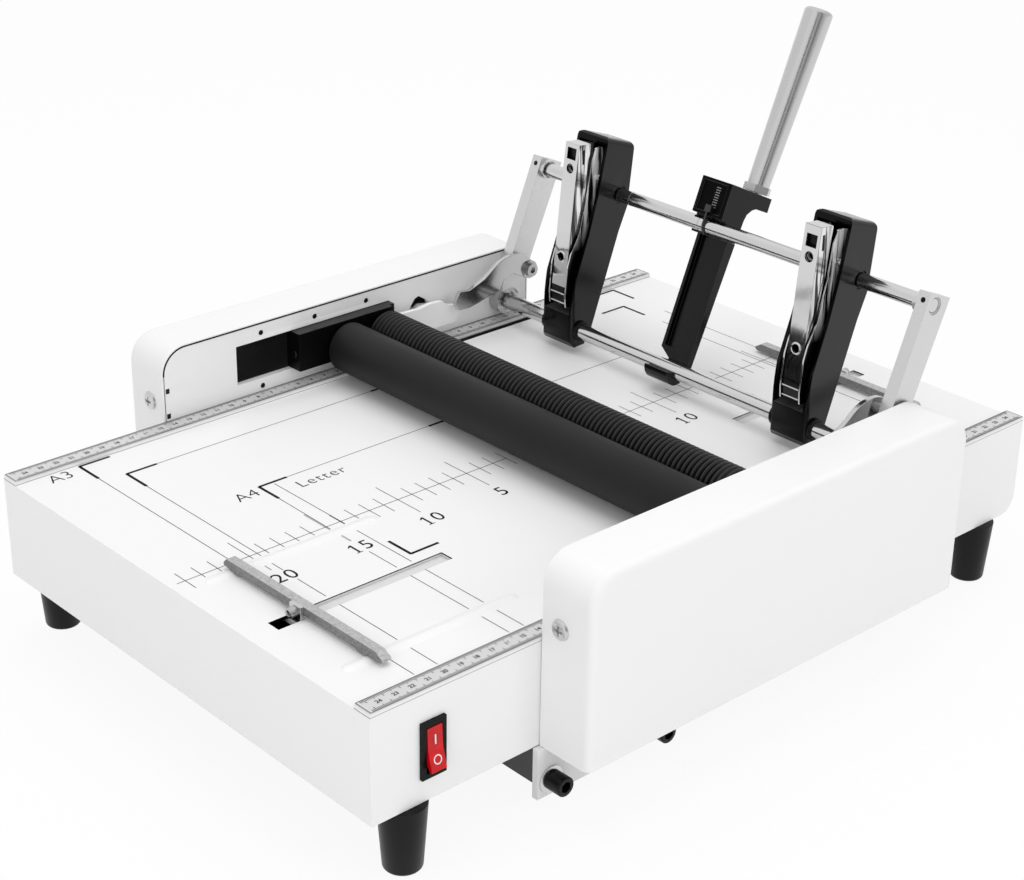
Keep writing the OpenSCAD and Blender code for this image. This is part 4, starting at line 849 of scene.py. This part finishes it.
# Floor and light: a pale seamless floor, a large soft lamp overhead and two weaker ones at the front, and
# an even white room. The floor shows white to the camera but keeps the shadow under the machine. In mirrors
# the room has a few darker stretches, as a studio has between its lamps.
def shown_white(tree):
    """One where a surface or the room is seen straight, in a mirror or through glass, else nought."""
    path = add(tree, "LightPath", {})
    clear = add(tree, "Math", {0: path.outputs["Is Glossy Ray"], 1: path.outputs["Is Transmission Ray"]},
                use_clamp=True)
    seen = add(tree, "Math", {0: path.outputs["Is Camera Ray"], 1: clear.outputs[0]}, use_clamp=True)
    return path.outputs["Is Glossy Ray"], seen.outputs[0]


floor_paint = bpy.data.materials.new("pale seamless floor")
floor_paint.use_nodes = True
tree = floor_paint.node_tree
matt = tree.nodes["Principled BSDF"]
matt.inputs["Roughness"].default_value = 0.9
matt.inputs["Base Color"].default_value = linear("#F4F4F4")
grain = add(tree, "TexNoise", {"Vector": add(tree, "TexCoord", {}).outputs["Object"], "Scale": 300.0})
bump = add(tree, "Bump", {"Height": grain.outputs[0], "Distance": 0.0001})
tree.links.new(bump.outputs["Normal"], matt.inputs["Normal"])
_, seen = shown_white(tree)
part = add(tree, "Math", {0: seen, 1: 0.92}, operation="MULTIPLY")
glow = add(tree, "Emission", {"Color": (1, 1, 1, 1), "Strength": 1.0})
blend = add(tree, "MixShader", {0: part.outputs[0], 1: matt.outputs[0], 2: glow.outputs[0]})
tree.links.new(blend.outputs[0], tree.nodes["Material Output"].inputs["Surface"])
spread = np.linspace(-6, 6, 9)
u, v = np.meshgrid(spread, spread, indexing="ij")
floor_mesh = bpy.data.meshes.new("floor")
(points, quads, _), = grid(np.stack([u, v, 0 * u - 0.0002], -1))
floor_mesh.from_pydata(points.tolist(), [], quads.tolist())
floor_mesh.materials.append(floor_paint)
floor = bpy.data.objects.new("floor", floor_mesh)
bpy.context.scene.collection.objects.link(floor)

room = bpy.data.worlds.new("white room")
room.use_nodes = True
bpy.context.scene.world = room
tree = room.node_tree
mirror, seen = shown_white(tree)
way = add(tree, "SeparateXYZ", {0: add(tree, "TexCoord", {}).outputs["Generated"]})
turn = add(tree, "Math", {0: way.outputs["Y"], 1: way.outputs["X"]}, operation="ARCTAN2")
round_room = add(tree, "MapRange", {"Value": turn.outputs[0], "From Min": -np.pi, "From Max": np.pi})
cards = add(tree, "ValToRGB", {"Fac": round_room.outputs[0]})
levels = ((-180, 0.9), (-112, 0.9), (-88, 1.0), (-66, 1.0), (-54, 1.0), (-52, 0.06), (-44, 0.06),
          (-42, 0.62), (-31, 0.66), (-25, 0.2), (-18, 0.22), (-8, 0.5), (8, 0.68), (60, 0.8), (110, 0.9))
for n, (angle, level) in enumerate(levels):
    stop = cards.color_ramp.elements[n] if n < 1 else cards.color_ramp.elements.new((angle + 180) / 360)
    stop.position, stop.color = (angle + 180) / 360, (level, level, level, 1)
high = add(tree, "MapRange", {"Value": way.outputs["Z"], "From Min": 0.6, "From Max": 0.85})
mirrored = add(tree, "Mix", {"Factor": high.outputs[0], "A": cards.outputs[0], "B": (1, 1, 1, 1)},
               data_type="RGBA")
shown = add(tree, "Mix", {"Factor": mirror, "A": (1, 1, 1, 1), "B": mirrored.outputs[2]}, data_type="RGBA")
strength = add(tree, "MapRange", {"Value": seen, "To Min": 0.62, "To Max": 1.0})
tree.links.new(strength.outputs[0], tree.nodes["Background"].inputs["Strength"])
tree.links.new(shown.outputs[2], tree.nodes["Background"].inputs["Color"])


def lamp(name, place, target, size, watts):
    """A square soft lamp at a place in metres that faces its target."""
    light = bpy.data.lights.new(name, "AREA")
    light.size, light.energy = size, watts
    obj = bpy.data.objects.new(name, light)
    away = np.array(place, float) - target
    away /= np.linalg.norm(away)
    side = np.cross([0.0, 1.0, 0.1], away)
    side /= np.linalg.norm(side)
    turn = np.eye(4)
    turn[:3, :3] = np.stack([side, np.cross(away, side), away], 1)
    turn[:3, 3] = place
    obj.matrix_world = Matrix(turn.tolist())
    obj.visible_glossy = False
    bpy.context.scene.collection.objects.link(obj)


machine = (0, 0, 0.1)
lamp("overhead lamp", (-0.3, 0.2, 1.9), machine, 1.6, 14)
lamp("front lamp", (0.9, -1.9, 1.0), machine, 1.2, 8)
lamp("side lamp", (2.0, 0.3, 1.1), machine, 1.2, 8)

view = bpy.context.scene.view_settings
view.view_transform = "Standard"
